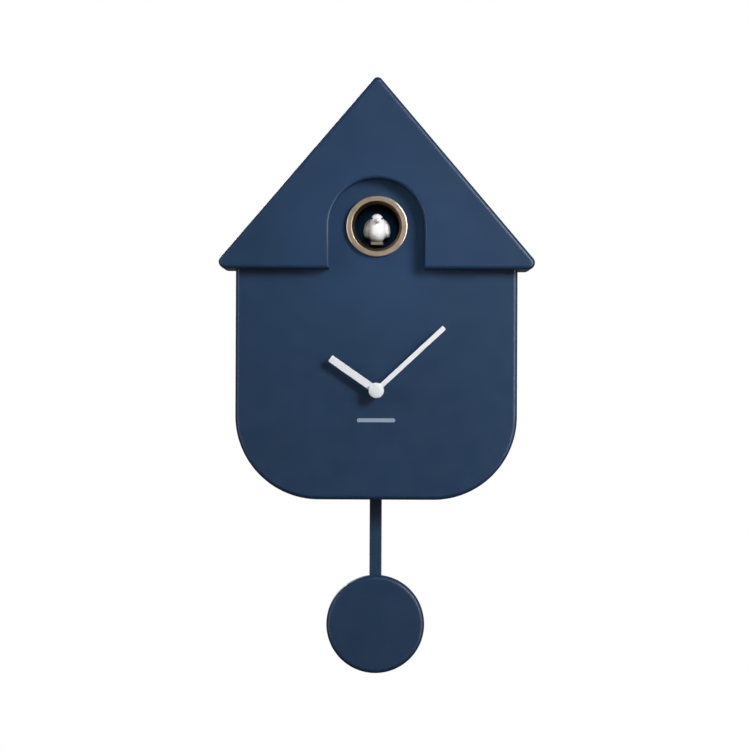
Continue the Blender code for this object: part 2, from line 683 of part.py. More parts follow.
def make_pendulum():
    """The fixed pivot pin and drive coil, then the pieces that swing."""
    pin = turned(
        [
            (0, -0.0532),
            (0.0010, -0.0532),
            (0.0010, -0.0464),
            (0.0019, -0.0464),
            (0.0019, -0.0456),
            (0, -0.0456),
        ],
        0,
        PIVOT_Z,
        12,
    )
    named(pin, "pendulum_pivot", "steel")
    coil = turned(
        [(0.0020, -0.0537), (0.0020, -0.0503), (0.0055, -0.0503), (0.0055, -0.0537)], 0, MAGNET_Z, 20
    )
    named(coil, "drive_coil", "copper_wire")

    hanger = block((-0.0035, HANGER_Y[0], PEG_Z - 0.004), (0.0035, HANGER_Y[1], PIVOT_Z))
    join(
        hanger,
        rod(0, PIVOT_Z, 0.0042, *HANGER_Y, 16),
        rod(0, MAGNET_Z, 0.0060, *HANGER_Y, 20),
        rod(0, PEG_Z, 0.0014, HANGER_Y[1] - 0.001, ROD_Y + ROD_THICK / 2 + 0.001, 12),
    )
    cut(hanger, rod(0, PIVOT_Z, 0.0010 + RUN, -0.052, -0.045, 12))
    cut(hanger, rod(0, MAGNET_Z, 0.0043, -0.052, -0.045, 16))
    named(hanger, "pendulum_hanger", "black_plastic")
    magnet = rod(0, MAGNET_Z, 0.0040, HANGER_Y[0] + 0.0002, HANGER_Y[1] - 0.0002, 16)
    named(magnet, "pendulum_magnet", "steel")

    half = ROD_WIDTH / 2
    rod_y = (ROD_Y - ROD_THICK / 2, ROD_Y + ROD_THICK / 2)
    strip = prism(
        rounded(
            [
                (-half, BOB_Z + 0.012, 0.001, 1),
                (half, BOB_Z + 0.012, 0.001, 1),
                (half, PEG_Z + 0.0045, 0.003, 2),
                (-half, PEG_Z + 0.0045, 0.003, 2),
            ]
        ),
        *rod_y,
    )
    cut(strip, rod(0, PEG_Z, 0.0017, -0.050, -0.040, 12))
    named(strip, "pendulum_rod", "case_blue")

    front_y, back_y = ROD_Y - BOB_THICK / 2, ROD_Y + BOB_THICK / 2
    seam = back_y - 0.0022
    bob = turned(
        [
            (0, front_y),
            (BOB_R - 0.003, front_y),
            (BOB_R - 0.0009, front_y + 0.0009),
            (BOB_R, front_y + 0.003),
            (BOB_R, seam - GAP),
            (BOB_R - 0.002, seam - GAP),
            (BOB_R - 0.002, front_y + 0.0035),
            (BOB_R - 0.0045, front_y + 0.002),
            (0, front_y + 0.002),
        ],
        0,
        BOB_Z,
        48,
    )
    notch = block(
        (-half - GAP, rod_y[0] - GAP, BOB_Z + 0.020), (half + GAP, seam, BOB_Z + BOB_R + 0.002)
    )
    cut(bob, notch)
    named(bob, "bob_front", "case_blue")
    lid = turned(
        [
            (0, seam),
            (BOB_R, seam),
            (BOB_R, back_y - 0.0012),
            (BOB_R - 0.0012, back_y),
            (0, back_y),
        ],
        0,
        BOB_Z,
        48,
    )
    named(lid, "bob_back", "case_blue")
    weight = rod(0, BOB_Z, 0.026, front_y + 0.0025, seam - 0.0006, 28)
    cut(weight, block((-0.03, -0.06, BOB_Z + 0.0105), (0.03, -0.03, BOB_Z + 0.03)))
    named(weight, "bob_weight", "steel")
    return hanger, magnet, strip, bob, lid, weight


# ---------------------------------------------------------------- cuckoo mechanism
PLATE_Z = (0.084, 0.086)  # the frame's floor
FLANGE_Y = ((-0.066, -0.064), (-0.010, -0.008))
GUIDE_X, GUIDE_Z, GUIDE_R = 0.013, 0.0905, 0.0015
RACK_M = 0.0008
RACK_PITCH_X = 0.0225
RACK_PINION_T = 12
GEAR_X = RACK_PITCH_X + RACK_PINION_T * RACK_M / 2
GEAR_Y = -0.037
MOTOR_M, MOTOR_PINION_T, WHEEL_T = 0.0006, 10, 36
MOTOR_X = GEAR_X + (MOTOR_PINION_T + WHEEL_T) * MOTOR_M / 2


def make_cuckoo_frame():
    frame = block((-0.020, FLANGE_Y[0][0], PLATE_Z[0]), (0.054, FLANGE_Y[1][1], PLATE_Z[1]))
    join(
        frame,
        block((-0.020, FLANGE_Y[0][0], 0.085), (0.0175, FLANGE_Y[0][1], 0.0945)),
        block((0.030, FLANGE_Y[0][0], 0.085), (0.054, FLANGE_Y[0][1], 0.098)),
        block((-0.020, FLANGE_Y[1][0], 0.085), (0.0175, FLANGE_Y[1][1], 0.0945)),
    )
    for side in (-1, 1):
        cut(frame, rod(side * GUIDE_X, GUIDE_Z, GUIDE_R + GAP, -0.067, -0.007, 10))
    for x, z in FRAME_SCREWS:
        cut(frame, rod(x, z, 0.0014, -0.067, -0.063, 8))
    cut(
        frame,
        rod(GEAR_X, GEAR_Y, 0.0018, 0.083, 0.087, 10, "Z"),
        rod(MOTOR_X, GEAR_Y, 0.0032, 0.083, 0.087, 12, "Z"),
    )
    named(frame, "cuckoo_frame", "black_plastic", smooth=False)
    for side, name in ((-1, "guide_rod_left"), (1, "guide_rod_right")):
        bar = rod(side * GUIDE_X, GUIDE_Z, GUIDE_R, -0.0662, -0.0078, 10)
        named(bar, name, "steel")


def rack_outline(y0, y1):
    """A straight rack in the XY plane, with a gap between teeth facing the pinion's centre."""
    pitch = math.pi * RACK_M
    half = 0.40 * pitch / 2
    tip, root = RACK_PITCH_X + 0.9 * RACK_M, RACK_PITCH_X - 1.25 * RACK_M
    points = [(0.0186, y0), (root, y0)]
    first = math.ceil((y0 - GEAR_Y) / pitch - 0.5 + 0.45)
    last = math.floor((y1 - GEAR_Y) / pitch - 0.5 - 0.45)
    for k in range(first, last + 1):
        middle = GEAR_Y + (k + 0.5) * pitch
        points += [
            (root, middle - 1.15 * half),
            (tip, middle - 0.6 * half),
            (tip, middle + 0.6 * half),
            (root, middle + 1.15 * half),
        ]
    return points + [(root, y1), (0.0186, y1)]


PERCH_Z = (PORT_Z - 0.0126, PORT_Z - 0.0106)
PEG_Y = BIRD_Y + 0.002  # the peg that holds the bird on its perch


def make_carriage():
    """The bird's carriage: a slider on the two guide rods, with the rack along its right side and an
    upright that carries the perch."""
    carriage = block((-0.019, -0.026, 0.0875), (0.019, -0.012, 0.0940))
    join(
        carriage,
        prism(rack_outline(-0.040, -0.006), 0.0885, 0.0930, "Z"),
        block((-0.0042, -0.026, 0.0930), (0.0042, -0.0225, PERCH_Z[1])),
        block((-0.0042, BIRD_Y - 0.008, PERCH_Z[0]), (0.0042, -0.0235, PERCH_Z[1])),
        rod(0, PEG_Y, 0.0011, PERCH_Z[0] + 0.001, PORT_Z - 0.0066, 10, "Z"),
    )
    for side in (-1, 1):
        cut(carriage, rod(side * GUIDE_X, GUIDE_Z, GUIDE_R + RUN, -0.028, -0.010, 10))
    return named(carriage, "bird_carriage", "perch_brown", smooth=False)


def make_bird():
    y, z = BIRD_Y, PORT_Z
    bird = ball((0, y, z - 0.0024), (0.0072, 0.0140, 0.0086))
    join(
        bird,
        ball((0, y - 0.0100, z + 0.0038), (0.0048, 0.0053, 0.0047)),
        ball((-0.0056, y + 0.0020, z - 0.0018), (0.0036, 0.0098, 0.0058)),
        ball((0.0056, y + 0.0020, z - 0.0018), (0.0036, 0.0098, 0.0058)),
    )
    beak_profile = [(0, y - 0.0196), (0.0015, y - 0.0152), (0.0012, y - 0.0120), (0, y - 0.0120)]
    tail = block((-0.0035, y + 0.0080, z - 0.0022), (0.0035, y + 0.0205, z + 0.0010))
    join(bird, turned(beak_profile, 0, z + 0.0035, 8), tail)
    cut(bird, block((-0.02, y - 0.028, z - 0.02), (0.02, y + 0.032, PERCH_Z[1] + GAP)))
    cut(bird, rod(0, PEG_Y, 0.0014, z - 0.0126, z - 0.0061, 10, "Z"))
    return named(bird, "bird", "bird_white")


def make_bird_drive():
    pinion = (GEAR_X, GEAR_Y, RACK_PINION_T, math.pi)
    wheel = (GEAR_X, GEAR_Y, WHEEL_T, 0.0)
    motor = (MOTOR_X, GEAR_Y, MOTOR_PINION_T, 0.0)
    motor = (*motor[:3], meshing_phase(wheel, motor))
    teeth = gear_outline(RACK_PINION_T, RACK_M, GEAR_X, GEAR_Y, pinion[3])
    gear = prism(teeth, 0.0882, 0.0950, "Z")
    teeth = gear_outline(WHEEL_T, MOTOR_M, GEAR_X, GEAR_Y, wheel[3])
    join(gear, prism(teeth, 0.0946, 0.0968, "Z"))
    cut(gear, rod(GEAR_X, GEAR_Y, 0.0015 + RUN, 0.087, 0.099, 10, "Z"))
    named(gear, "drive_gear", "gear_plastic")
    axle = turned(
        [
            (0, 0.0834),
            (0.0026, 0.0834),
            (0.0026, 0.0837),
            (0.0015, 0.0837),
            (0.0015, 0.0985),
            (0, 0.0985),
        ],
        GEAR_X,
        GEAR_Y,
        10,
        "Z",
    )
    named(axle, "gear_axle", "steel")
    teeth = gear_outline(MOTOR_PINION_T, MOTOR_M, MOTOR_X, GEAR_Y, motor[3])
    spindle = prism(teeth, 0.0940, 0.0975, "Z")
    join(spindle, rod(MOTOR_X, GEAR_Y, 0.0010, 0.0800, 0.0950, 10, "Z"))
    named(spindle, "motor_pinion", "brass")
    can = rod(MOTOR_X, GEAR_Y, 0.0100, 0.0595, 0.0825, 20, "Z")
    for side in (-1, 1):
        x = MOTOR_X + side * 0.0105
        cut(can, block((x - 0.0025, -0.06, 0.05), (x + 0.0025, -0.02, 0.09)))
    join(can, rod(MOTOR_X, GEAR_Y, 0.0029, 0.0820, 0.0855, 12, "Z"))
    cut(can, rod(MOTOR_X, GEAR_Y, 0.0010 + RUN, 0.0785, 0.0870, 10, "Z"))
    named(can, "cuckoo_motor", "steel")
    return gear, spindle


# ---------------------------------------------------------------- sound and power
BOX_Y = -0.020  # the battery box's floor
CELL_X = (-0.0710, -0.0545, -0.0380)
CELL_R, CELL_Y = 0.00725, -0.0112


def make_battery_box():
    box = block((-0.0825, BOX_Y, -0.0320), (-0.0265, COVER_IN - 2 * GAP, 0.0320))
    cut(box, block((-0.0797, BOX_Y + 0.0012, -0.0288), (-0.0293, 0.0, 0.0288)))
    for x in (-0.06275, -0.04625):
        join(box, block((x - 0.0004, BOX_Y + 0.0006, -0.0292), (x + 0.0004, -0.0155, 0.0292)))
    named(box, "battery_box", "black_plastic", smooth=False)
    for k, x in enumerate(CELL_X):
        up = 1 if k % 2 == 0 else -1
        ends = [(-0.0252, 0.0), (-0.0252, CELL_R), (0.0240, CELL_R), (0.0240, 0.0027), (0.0252, 0.0027)]
        profile = [(r, up * z) for z, r in ends] + [(0, up * 0.0252)]
        cell = turned(profile, x, CELL_Y, 16, "Z")
        named(cell, f"cell_{k + 1}", "cell_wrap")


def make_battery_door():
    """Hinged at its foot on two stub pins, with a finger notch at its top edge."""
    y0, y1 = -0.0021, -0.0004
    door = block((DOOR_LOW[0], y0, DOOR_LOW[1]), (DOOR_HIGH[0], y1, DOOR_HIGH[1]))
    join(door, rod(HINGE_Y, HINGE_Z, 0.0006, DOOR_LOW[0] - 0.0014, DOOR_HIGH[0] + 0.0014, 8, "X"))
    cut(door, rod(-0.0545, DOOR_HIGH[1] + 0.001, 0.006, -0.0012, 0.001, 16))
    return named(door, "battery_door", "case_blue", smooth=False)


def make_speaker():
    frame = turned(
        [
            (0.0165, COVER_IN - GAP),
            (SPEAKER_R, COVER_IN - GAP),
            (SPEAKER_R, -0.0045),
            (0.0180, -0.0050),
            (0.0105, -0.0100),
            (0.0105, -0.0145),
            (0, -0.0145),
            (0, -0.0118),
            (0.0088, -0.0118),
            (0.0165, -0.0042),
        ],
        SPEAKER_X,
        SPEAKER_Z,
        28,
    )
    cone = turned(
        [
            (0, -0.0065),
            (0.0060, -0.0085),
            (0.0155, -0.0042),
            (0.0160, -0.0034),
            (0.0155, -0.0032),
            (0.0148, -0.0040),
            (0.0060, -0.0079),
            (0, -0.0059),
        ],
        SPEAKER_X,
        SPEAKER_Z,
        28,
    )
    named(frame, "speaker_frame", "steel")
    named(cone, "speaker_cone", "speaker_paper")


def around(u, v, half_u, half_v, y0, y1):
    """A block from y0 to y1 about the line through (u, v)."""
    return block((u - half_u, y0, v - half_v), (u + half_u, y1, v + half_v))


def make_sound_board():
    board = block((0.0270, -0.0120, 0.0380), (0.0825, -0.0104, 0.0660))
    join(
        board,
        around(SWITCH_X, SWITCH_Z, 0.0070, 0.0035, -0.0110, -0.0065),
        around(BUTTON_X, BUTTON_Z, 0.0030, 0.0030, -0.0110, -0.0095),
        around(0.0530, 0.0490, 0.0050, 0.0040, -0.0140, -0.0115),
        rod(0.0740, 0.0460, 0.0035, -0.0210, -0.0115, 12),
    )
    named(board, "sound_board", "board_green", smooth=False)

    knob = around(SWITCH_X, SWITCH_Z, 0.0022, 0.0020, -0.0060, -0.0006)
    join(knob, around(SWITCH_X, SWITCH_Z, 0.0085, 0.0034, -0.0041, -0.0030))
    named(knob, "volume_slider", "black_plastic", smooth=False)

    button = rod(BUTTON_X, BUTTON_Z, BUTTON_R, -0.0068, -0.0006, 16)
    join(button, rod(BUTTON_X, BUTTON_Z, 0.0052, -0.0041, -0.0029, 16))
    named(button, "test_button", "black_plastic")
    return knob, button


# ---------------------------------------------------------------- assembly
def build():
    for obj in list(bpy.data.objects):
        bpy.data.objects.remove(obj)

    make_body_shell()
    make_roof_shell()
    make_rear_cover()
    make_ring_and_tunnel()
    for k, (x, z) in enumerate(COVER_SCREWS):
        make_screw(f"cover_screw_{k + 1}", x, z, -0.0015, 0.0130, 0.0031, 0.0014)

    make_movement_case()
    for side, (x, z) in zip(("left", "right"), MOVEMENT_SCREWS):
        make_screw(f"movement_screw_{side}", x, z, -0.0585, 0.0095, 0.0023, 0.0011)
    arbor, hour_wheel, minute_wheel, stem, knob = make_motion_work()
    centre, third, fourth, inter, rotor = make_going_train()
    make_step_motor()
    hour, minute, cap = make_hands()
    on_joint("minute_axis", (0, 0, 0), minute, cap, arbor)
    on_joint("hour_axis", (0, 0, 0), hour, hour_wheel)
    on_joint("minute_wheel_axis", (MINUTE_X, 0, 0), minute_wheel)
    on_joint("setting_axis", (SET_X, 0, 0), stem, knob)
    on_joint("centre_axis", (0, 0, 0), centre)
    on_joint("third_axis", (THIRD[0], 0, THIRD[1]), third)
    on_joint("fourth_axis", (FOURTH[0], 0, FOURTH[1]), fourth)
    on_joint("intermediate_axis", (INTER[0], 0, INTER[1]), inter)
    on_joint("rotor_axis", (ROTOR[0], 0, ROTOR[1]), rotor)

    on_joint("pendulum_axis", (0, ROD_Y, PIVOT_Z), *make_pendulum())

    make_cuckoo_frame()
    for side, (x, z) in zip(("left", "right"), FRAME_SCREWS):
        make_screw(f"frame_screw_{side}", x, z, -0.0640, 0.0055, 0.0023, 0.0011)
    carriage, bird = make_carriage(), make_bird()
    on_joint("bird_slide", (0, -0.019, GUIDE_Z), carriage, bird)
    gear, spindle = make_bird_drive()
    on_joint("drive_gear_axis", (GEAR_X, GEAR_Y, 0.0915), gear)
    on_joint("motor_axis", (MOTOR_X, GEAR_Y, 0.0915), spindle)

    make_battery_box()
    on_joint("door_hinge", (-0.0545, HINGE_Y, HINGE_Z), make_battery_door())
    make_speaker()
    slider, button = make_sound_board()
    on_joint("volume_slide", (SWITCH_X, -0.003, SWITCH_Z), slider)
    on_joint("button_press", (BUTTON_X, -0.003, BUTTON_Z), button)


build()
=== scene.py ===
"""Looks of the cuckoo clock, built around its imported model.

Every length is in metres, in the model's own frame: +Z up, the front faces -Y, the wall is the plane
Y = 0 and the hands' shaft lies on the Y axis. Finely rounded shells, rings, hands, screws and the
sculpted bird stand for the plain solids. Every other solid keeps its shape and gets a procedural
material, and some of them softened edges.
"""

import json
import math

import bmesh
import bpy
from mathutils import Matrix, Vector


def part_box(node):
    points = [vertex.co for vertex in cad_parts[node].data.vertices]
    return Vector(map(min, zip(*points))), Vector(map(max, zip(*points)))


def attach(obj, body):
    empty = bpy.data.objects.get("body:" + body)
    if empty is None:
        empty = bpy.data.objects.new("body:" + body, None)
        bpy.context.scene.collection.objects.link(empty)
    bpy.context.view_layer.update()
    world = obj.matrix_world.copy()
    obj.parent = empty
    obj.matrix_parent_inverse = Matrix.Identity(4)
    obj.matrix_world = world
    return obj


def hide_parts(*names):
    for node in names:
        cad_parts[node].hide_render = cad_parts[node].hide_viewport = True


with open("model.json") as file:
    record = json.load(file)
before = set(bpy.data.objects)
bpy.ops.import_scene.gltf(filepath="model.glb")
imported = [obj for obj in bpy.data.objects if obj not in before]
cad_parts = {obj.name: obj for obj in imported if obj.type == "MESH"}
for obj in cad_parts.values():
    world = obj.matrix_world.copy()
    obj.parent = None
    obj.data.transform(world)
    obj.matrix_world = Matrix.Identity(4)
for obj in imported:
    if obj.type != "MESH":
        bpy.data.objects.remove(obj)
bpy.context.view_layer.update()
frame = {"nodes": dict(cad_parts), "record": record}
SLOT_OF = {part["node"]: part["material_slot"] for part in frame["record"]["subparts"]}
BODY_OF = {node: body for body, nodes in frame["record"]["behaviour"]["bodies"].items() for node in nodes}

# ---------------------------------------------------------------- dimensions
WALL = 0.0025  # moulded shell wall
GAP = 0.0003  # between two fixed pieces that meet
EDGE_R = 0.003  # rounding of the case's front edges
RIM_R = 0.0005  # rounding of the case's back rims
LIP_R = 0.0003  # rounding of a plain hole's edge

body_low, body_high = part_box("body_shell")
BODY_FRONT, BODY_HALF, BODY_BOTTOM_Z = body_low.y, body_high.x, body_low.z
BODY_CORNER_R = 0.0574
roof_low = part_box("roof_shell")[0]
ROOF_FRONT, ROOF_EAVE_Z = roof_low.y, roof_low.z
ROOF_APEX_Z = 0.2166  # where the two slopes would meet
ROOF_HALF = 0.11382  # where a slope would meet the eave line
ROOF_APEX_R, ROOF_EAVE_R = 0.0038, 0.0047
FRONT_WALL_IN = BODY_FRONT + WALL
SLOPE = math.atan2(ROOF_APEX_Z - ROOF_EAVE_Z, ROOF_HALF)

ring_low, ring_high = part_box("port_ring")
PORT_Z = (ring_low.z + ring_high.z) / 2
RING_R = ring_high.x
PORT_BORE_R = 0.0154
RING_FLAT_R = 0.0174  # inner edge of the ring's flat face
PORT_HOLE_R = 0.0182  # in the body's front wall, behind the ring
SHAFT_HOLE_R = 0.0045
ARCH_R = 0.0326
ARCH_EDGE_R = 0.0022

rod_low, rod_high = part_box("pendulum_rod")
ROD_Y = (rod_low.y + rod_high.y) / 2
ROD_SLOT_HALF, ROD_SLOT_DEEP = 0.0175, 0.005  # half sizes of the slot that the rod swings in

MARK_HALF_LENGTH, MARK_HALF_HEIGHT, MARK_Z = 0.01315, 0.00135, -0.0205
MARK_THICK = 0.00004

FLOOR_Z, FLOOR_HALF = -1.05, 5.0
CAMERA_PLACE = (-0.0009, -3.08, 0.0106)
CAMERA_ROLL = math.radians(-0.25)
CAMERA_LENS, CAMERA_SENSOR = 210.2, 36  # millimetres

# where a shape's own (u, v, w) lie in the model, by the axis that w runs along
AXES = {
    "X": lambda u, v, w: (w, u, v),
    "Y": lambda u, v, w: (u, w, v),
    "Z": lambda u, v, w: (u, v, w),
}


# ---------------------------------------------------------------- shapes that can grow
# A shape is a function that gives its outline, as (u, v) points, moved outwards by a distance.
def disc(u, v, radius, steps):
    def outline(grow):
        return [
            (
                u + (radius + grow) * math.cos(2 * math.pi * k / steps),
                v + (radius + grow) * math.sin(2 * math.pi * k / steps),
            )
            for k in range(steps)
        ]

    return outline


def plate(u0, v0, u1, v1, corner, steps=6):
    """A rectangle with round corners."""

    def outline(grow):
        radius = max(corner + grow, 0.00005)
        points = []
        for side_u, side_v, start in ((u1, v1, 0), (u0, v1, 90), (u0, v0, 180), (u1, v0, 270)):
            centre_u = side_u + (-corner if side_u == u1 else corner)
            centre_v = side_v + (-corner if side_v == v1 else corner)
            for k in range(steps + 1):
                angle = math.radians(start + 90 * k / steps)
                points.append((centre_u + radius * math.cos(angle), centre_v + radius * math.sin(angle)))
        return points

    return outline


def polygon(corners):
    """A convex outline, given anticlockwise as (u, v, radius, steps). A corner that shrinks keeps a
    radius of 0.4 mm."""

    def outline(grow):
        count = len(corners)
        points = [Vector(c[:2]) for c in corners]
        lines = []
        for k, a in enumerate(points):
            along = (points[(k + 1) % count] - a).normalized()
            lines.append((a - Vector((-along.y, along.x)) * grow, along))
        result = []
        for k in range(count):
            (a, da), (b, db) = lines[k - 1], lines[k]
            corner = a + da * ((b - a).cross(db) / da.cross(db))
            radius = max(corners[k][2] + grow, 0.0004)
            turn = da.angle(db)
            side = Vector((-da.y, da.x))
            centre = corner - da * radius * math.tan(turn / 2) + side * radius
            start = math.atan2(-side.y, -side.x)
            for s in range(corners[k][3] + 1):
                angle = start + turn * s / corners[k][3]
                result.append((centre.x + radius * math.cos(angle), centre.y + radius * math.sin(angle)))
        return result

    return outline


def doorway(radius, bottom):
    """A round-topped opening about the port's centre."""
    steps = 64

    def outline(grow):
        top = [
            (
                (radius + grow) * math.cos(math.pi * k / steps),
                PORT_Z + (radius + grow) * math.sin(math.pi * k / steps),
            )
            for k in range(steps + 1)
        ]
        return [(radius + grow, bottom)] + top + [(-radius - grow, bottom)]

    return outline


def hand(hub_r, length, width, degrees):
    """A straight hand with a round hub at the shaft, turned clockwise from twelve by degrees."""
    steps = 40

    def outline(grow):
        half = width / 2 + grow
        hub = hub_r + grow
        tip = min(0.0006, width / 2) + grow
        meet = math.asin(half / hub)
        sweep = 2 * math.pi - 2 * meet
        points = []
        for k in range(steps + 1):
            angle = math.pi / 2 + meet + sweep * k / steps
            points.append((hub * math.cos(angle), hub * math.sin(angle)))
        for side, start in ((1, 0), (-1, 90)):
            for k in range(5):
                angle = math.radians(start + 90 * k / 4)
                points.append(
                    (side * (half - tip) + tip * math.cos(angle), length + grow - tip + tip * math.sin(angle))
                )
        turn = math.radians(-degrees)
        cos, sin = math.cos(turn), math.sin(turn)
        return [(x * cos - z * sin, x * sin + z * cos) for x, z in points]

    return outline


# ---------------------------------------------------------------- solids
def quarter(steps):
    return [math.pi / 2 * k / steps for k in range(steps + 1)]


def lip(radius, w, towards, steps):
    """(grow, w) rings of a rounded edge, from the flat end at w to the side wall, which lies towards
    higher w (+1) or lower w (-1)."""
    return [(radius * (math.sin(a) - 1), w + towards * radius * (1 - math.cos(a))) for a in quarter(steps)]


def new_solid(bm):
    bmesh.ops.remove_doubles(bm, verts=bm.verts, dist=1e-7)
    bmesh.ops.recalc_face_normals(bm, faces=bm.faces)
    mesh = bpy.data.meshes.new("solid")
    bm.to_mesh(mesh)
    bm.free()
    obj = bpy.data.objects.new("solid", mesh)
    bpy.context.scene.collection.objects.link(obj)
    return obj


def loft(shape, rings, axis="Y"):
    """A closed solid through the shape's outlines at (grow, w) rings, with flat ends."""
    to_world = AXES[axis]
    bm = bmesh.new()
    loops = [[bm.verts.new(to_world(u, v, w)) for u, v in shape(grow)] for grow, w in rings]
    count = len(loops[0])
    for a, b in zip(loops, loops[1:]):
        for k in range(count):
            after = (k + 1) % count
            bm.faces.new((a[k], a[after], b[after], b[k]))
    bm.faces.new(loops[0])
    bm.faces.new(loops[-1])
    return new_solid(bm)


def slab(shape, w0, w1, axis="Y", edge0=0.0, edge1=0.0):
    """A shape extruded from w0 to w1, with its two ends' edges rounded."""
    first = lip(edge0, w0, 1, 4) if edge0 else [(0.0, w0)]
    last = lip(edge1, w1, -1, 4)[::-1] if edge1 else [(0.0, w1)]
    return loft(shape, first + last, axis)


def sink(shape, floor, surface, radius=LIP_R, axis="Y", steps=4):
    """A cutter that sinks the shape from a surface to a floor and rounds the edge at the surface."""
    away = 1 if surface > floor else -1
    rounding = [
        (radius * (1 - math.cos(a)), surface - away * radius * (1 - math.sin(a))) for a in quarter(steps)
    ]
    return loft(shape, [(0.0, floor)] + rounding + [(radius, surface + away * 0.001)], axis)


def block(low, high, edge=0.0):
    """A box between two opposite corners, with its edges rounded."""
    bm = bmesh.new()
    size = Vector(high) - Vector(low)
    place = Matrix.Translation((Vector(low) + Vector(high)) / 2) @ Matrix.Diagonal((*size, 1))
    bmesh.ops.create_cube(bm, size=1, matrix=place)
    if edge:
        bmesh.ops.bevel(bm, geom=bm.edges[:], offset=edge, segments=2, profile=0.5, affect="EDGES")
    return new_solid(bm)


def soften(points, radius, steps=4, closed=False):
    """A polyline of (a, b) points with its corners turned into arcs. A point may give its own radius
    as a third number."""
    flat = [Vector(p[:2]) for p in points]
    result = []
    for k, p in enumerate(flat):
        r = points[k][2] if len(points[k]) > 2 else radius
        if r <= 0 or (not closed and k in (0, len(flat) - 1)):
            result.append(tuple(p))
            continue
        back = (flat[k - 1] - p).normalized()
        on = (flat[(k + 1) % len(flat)] - p).normalized()
        half = back.angle(on) / 2
        if half > math.radians(88):
            result.append(tuple(p))
            continue
        centre = p + (back + on).normalized() * (r / math.sin(half))
        start = p + back * (r / math.tan(half)) - centre
        end = p + on * (r / math.tan(half)) - centre
        turn = start.angle_signed(end)
        for s in range(steps + 1):
            angle = -turn * s / steps
            cos, sin = math.cos(angle), math.sin(angle)
            across = centre.x + start.x * cos - start.y * sin
            result.append((across, centre.y + start.x * sin + start.y * cos))
    return result


def turned(profile, u, v, steps, axis="Y"):
    """A profile of (radius, w) points spun about an axis through (u, v). It is a closed loop, or runs
    from the axis back to the axis."""
    to_world = AXES[axis]
    bm = bmesh.new()
    verts = [bm.verts.new(to_world(u + r, v, w)) for r, w in profile]
    edges = [bm.edges.new(pair) for pair in zip(verts, verts[1:])]
    if profile[0][0] > 0:
        edges.append(bm.edges.new((verts[-1], verts[0])))
    bmesh.ops.spin(
        bm,
        geom=verts + edges,
        cent=to_world(u, v, 0),
        axis=to_world(0, 0, 1),
        angle=2 * math.pi,
        steps=steps,
        use_merge=True,
    )
    return new_solid(bm)


def ball(centre, radii, lean=0.0, segments=24, rings=16):
    """An ellipsoid, leaning about the Y axis by an angle in degrees."""
    bm = bmesh.new()
    place = Matrix.Translation(centre) @ Matrix.Rotation(math.radians(lean), 4, "Y")
    bmesh.ops.create_uvsphere(
        bm, u_segments=segments, v_segments=rings, radius=1, matrix=place @ Matrix.Diagonal((*radii, 1))
    )
    return new_solid(bm)


def applied(obj):
    """The object with its modifiers turned into mesh."""
    bpy.context.view_layer.update()
    graph = bpy.context.evaluated_depsgraph_get()
    mesh = bpy.data.meshes.new_from_object(obj.evaluated_get(graph))
    obj.modifiers.clear()
    obj.data = mesh
    return obj


def boolean(target, tool, operation):
    modifier = target.modifiers.new(operation.title(), "BOOLEAN")
    modifier.operation = operation
    modifier.object = tool
    applied(target)
    bpy.data.objects.remove(tool)
    return target


def cut(target, *tools):
    for tool in tools:
        boolean(target, tool, "DIFFERENCE")
    return target


def join(target, *tools):
    for tool in tools:
        boolean(target, tool, "UNION")
    return target


def gathered(pieces):
    """Several solids as the parts of one object."""
    bm = bmesh.new()
    for piece in pieces:
        bm.from_mesh(piece.data)
        bpy.data.objects.remove(piece)
    return new_solid(bm)


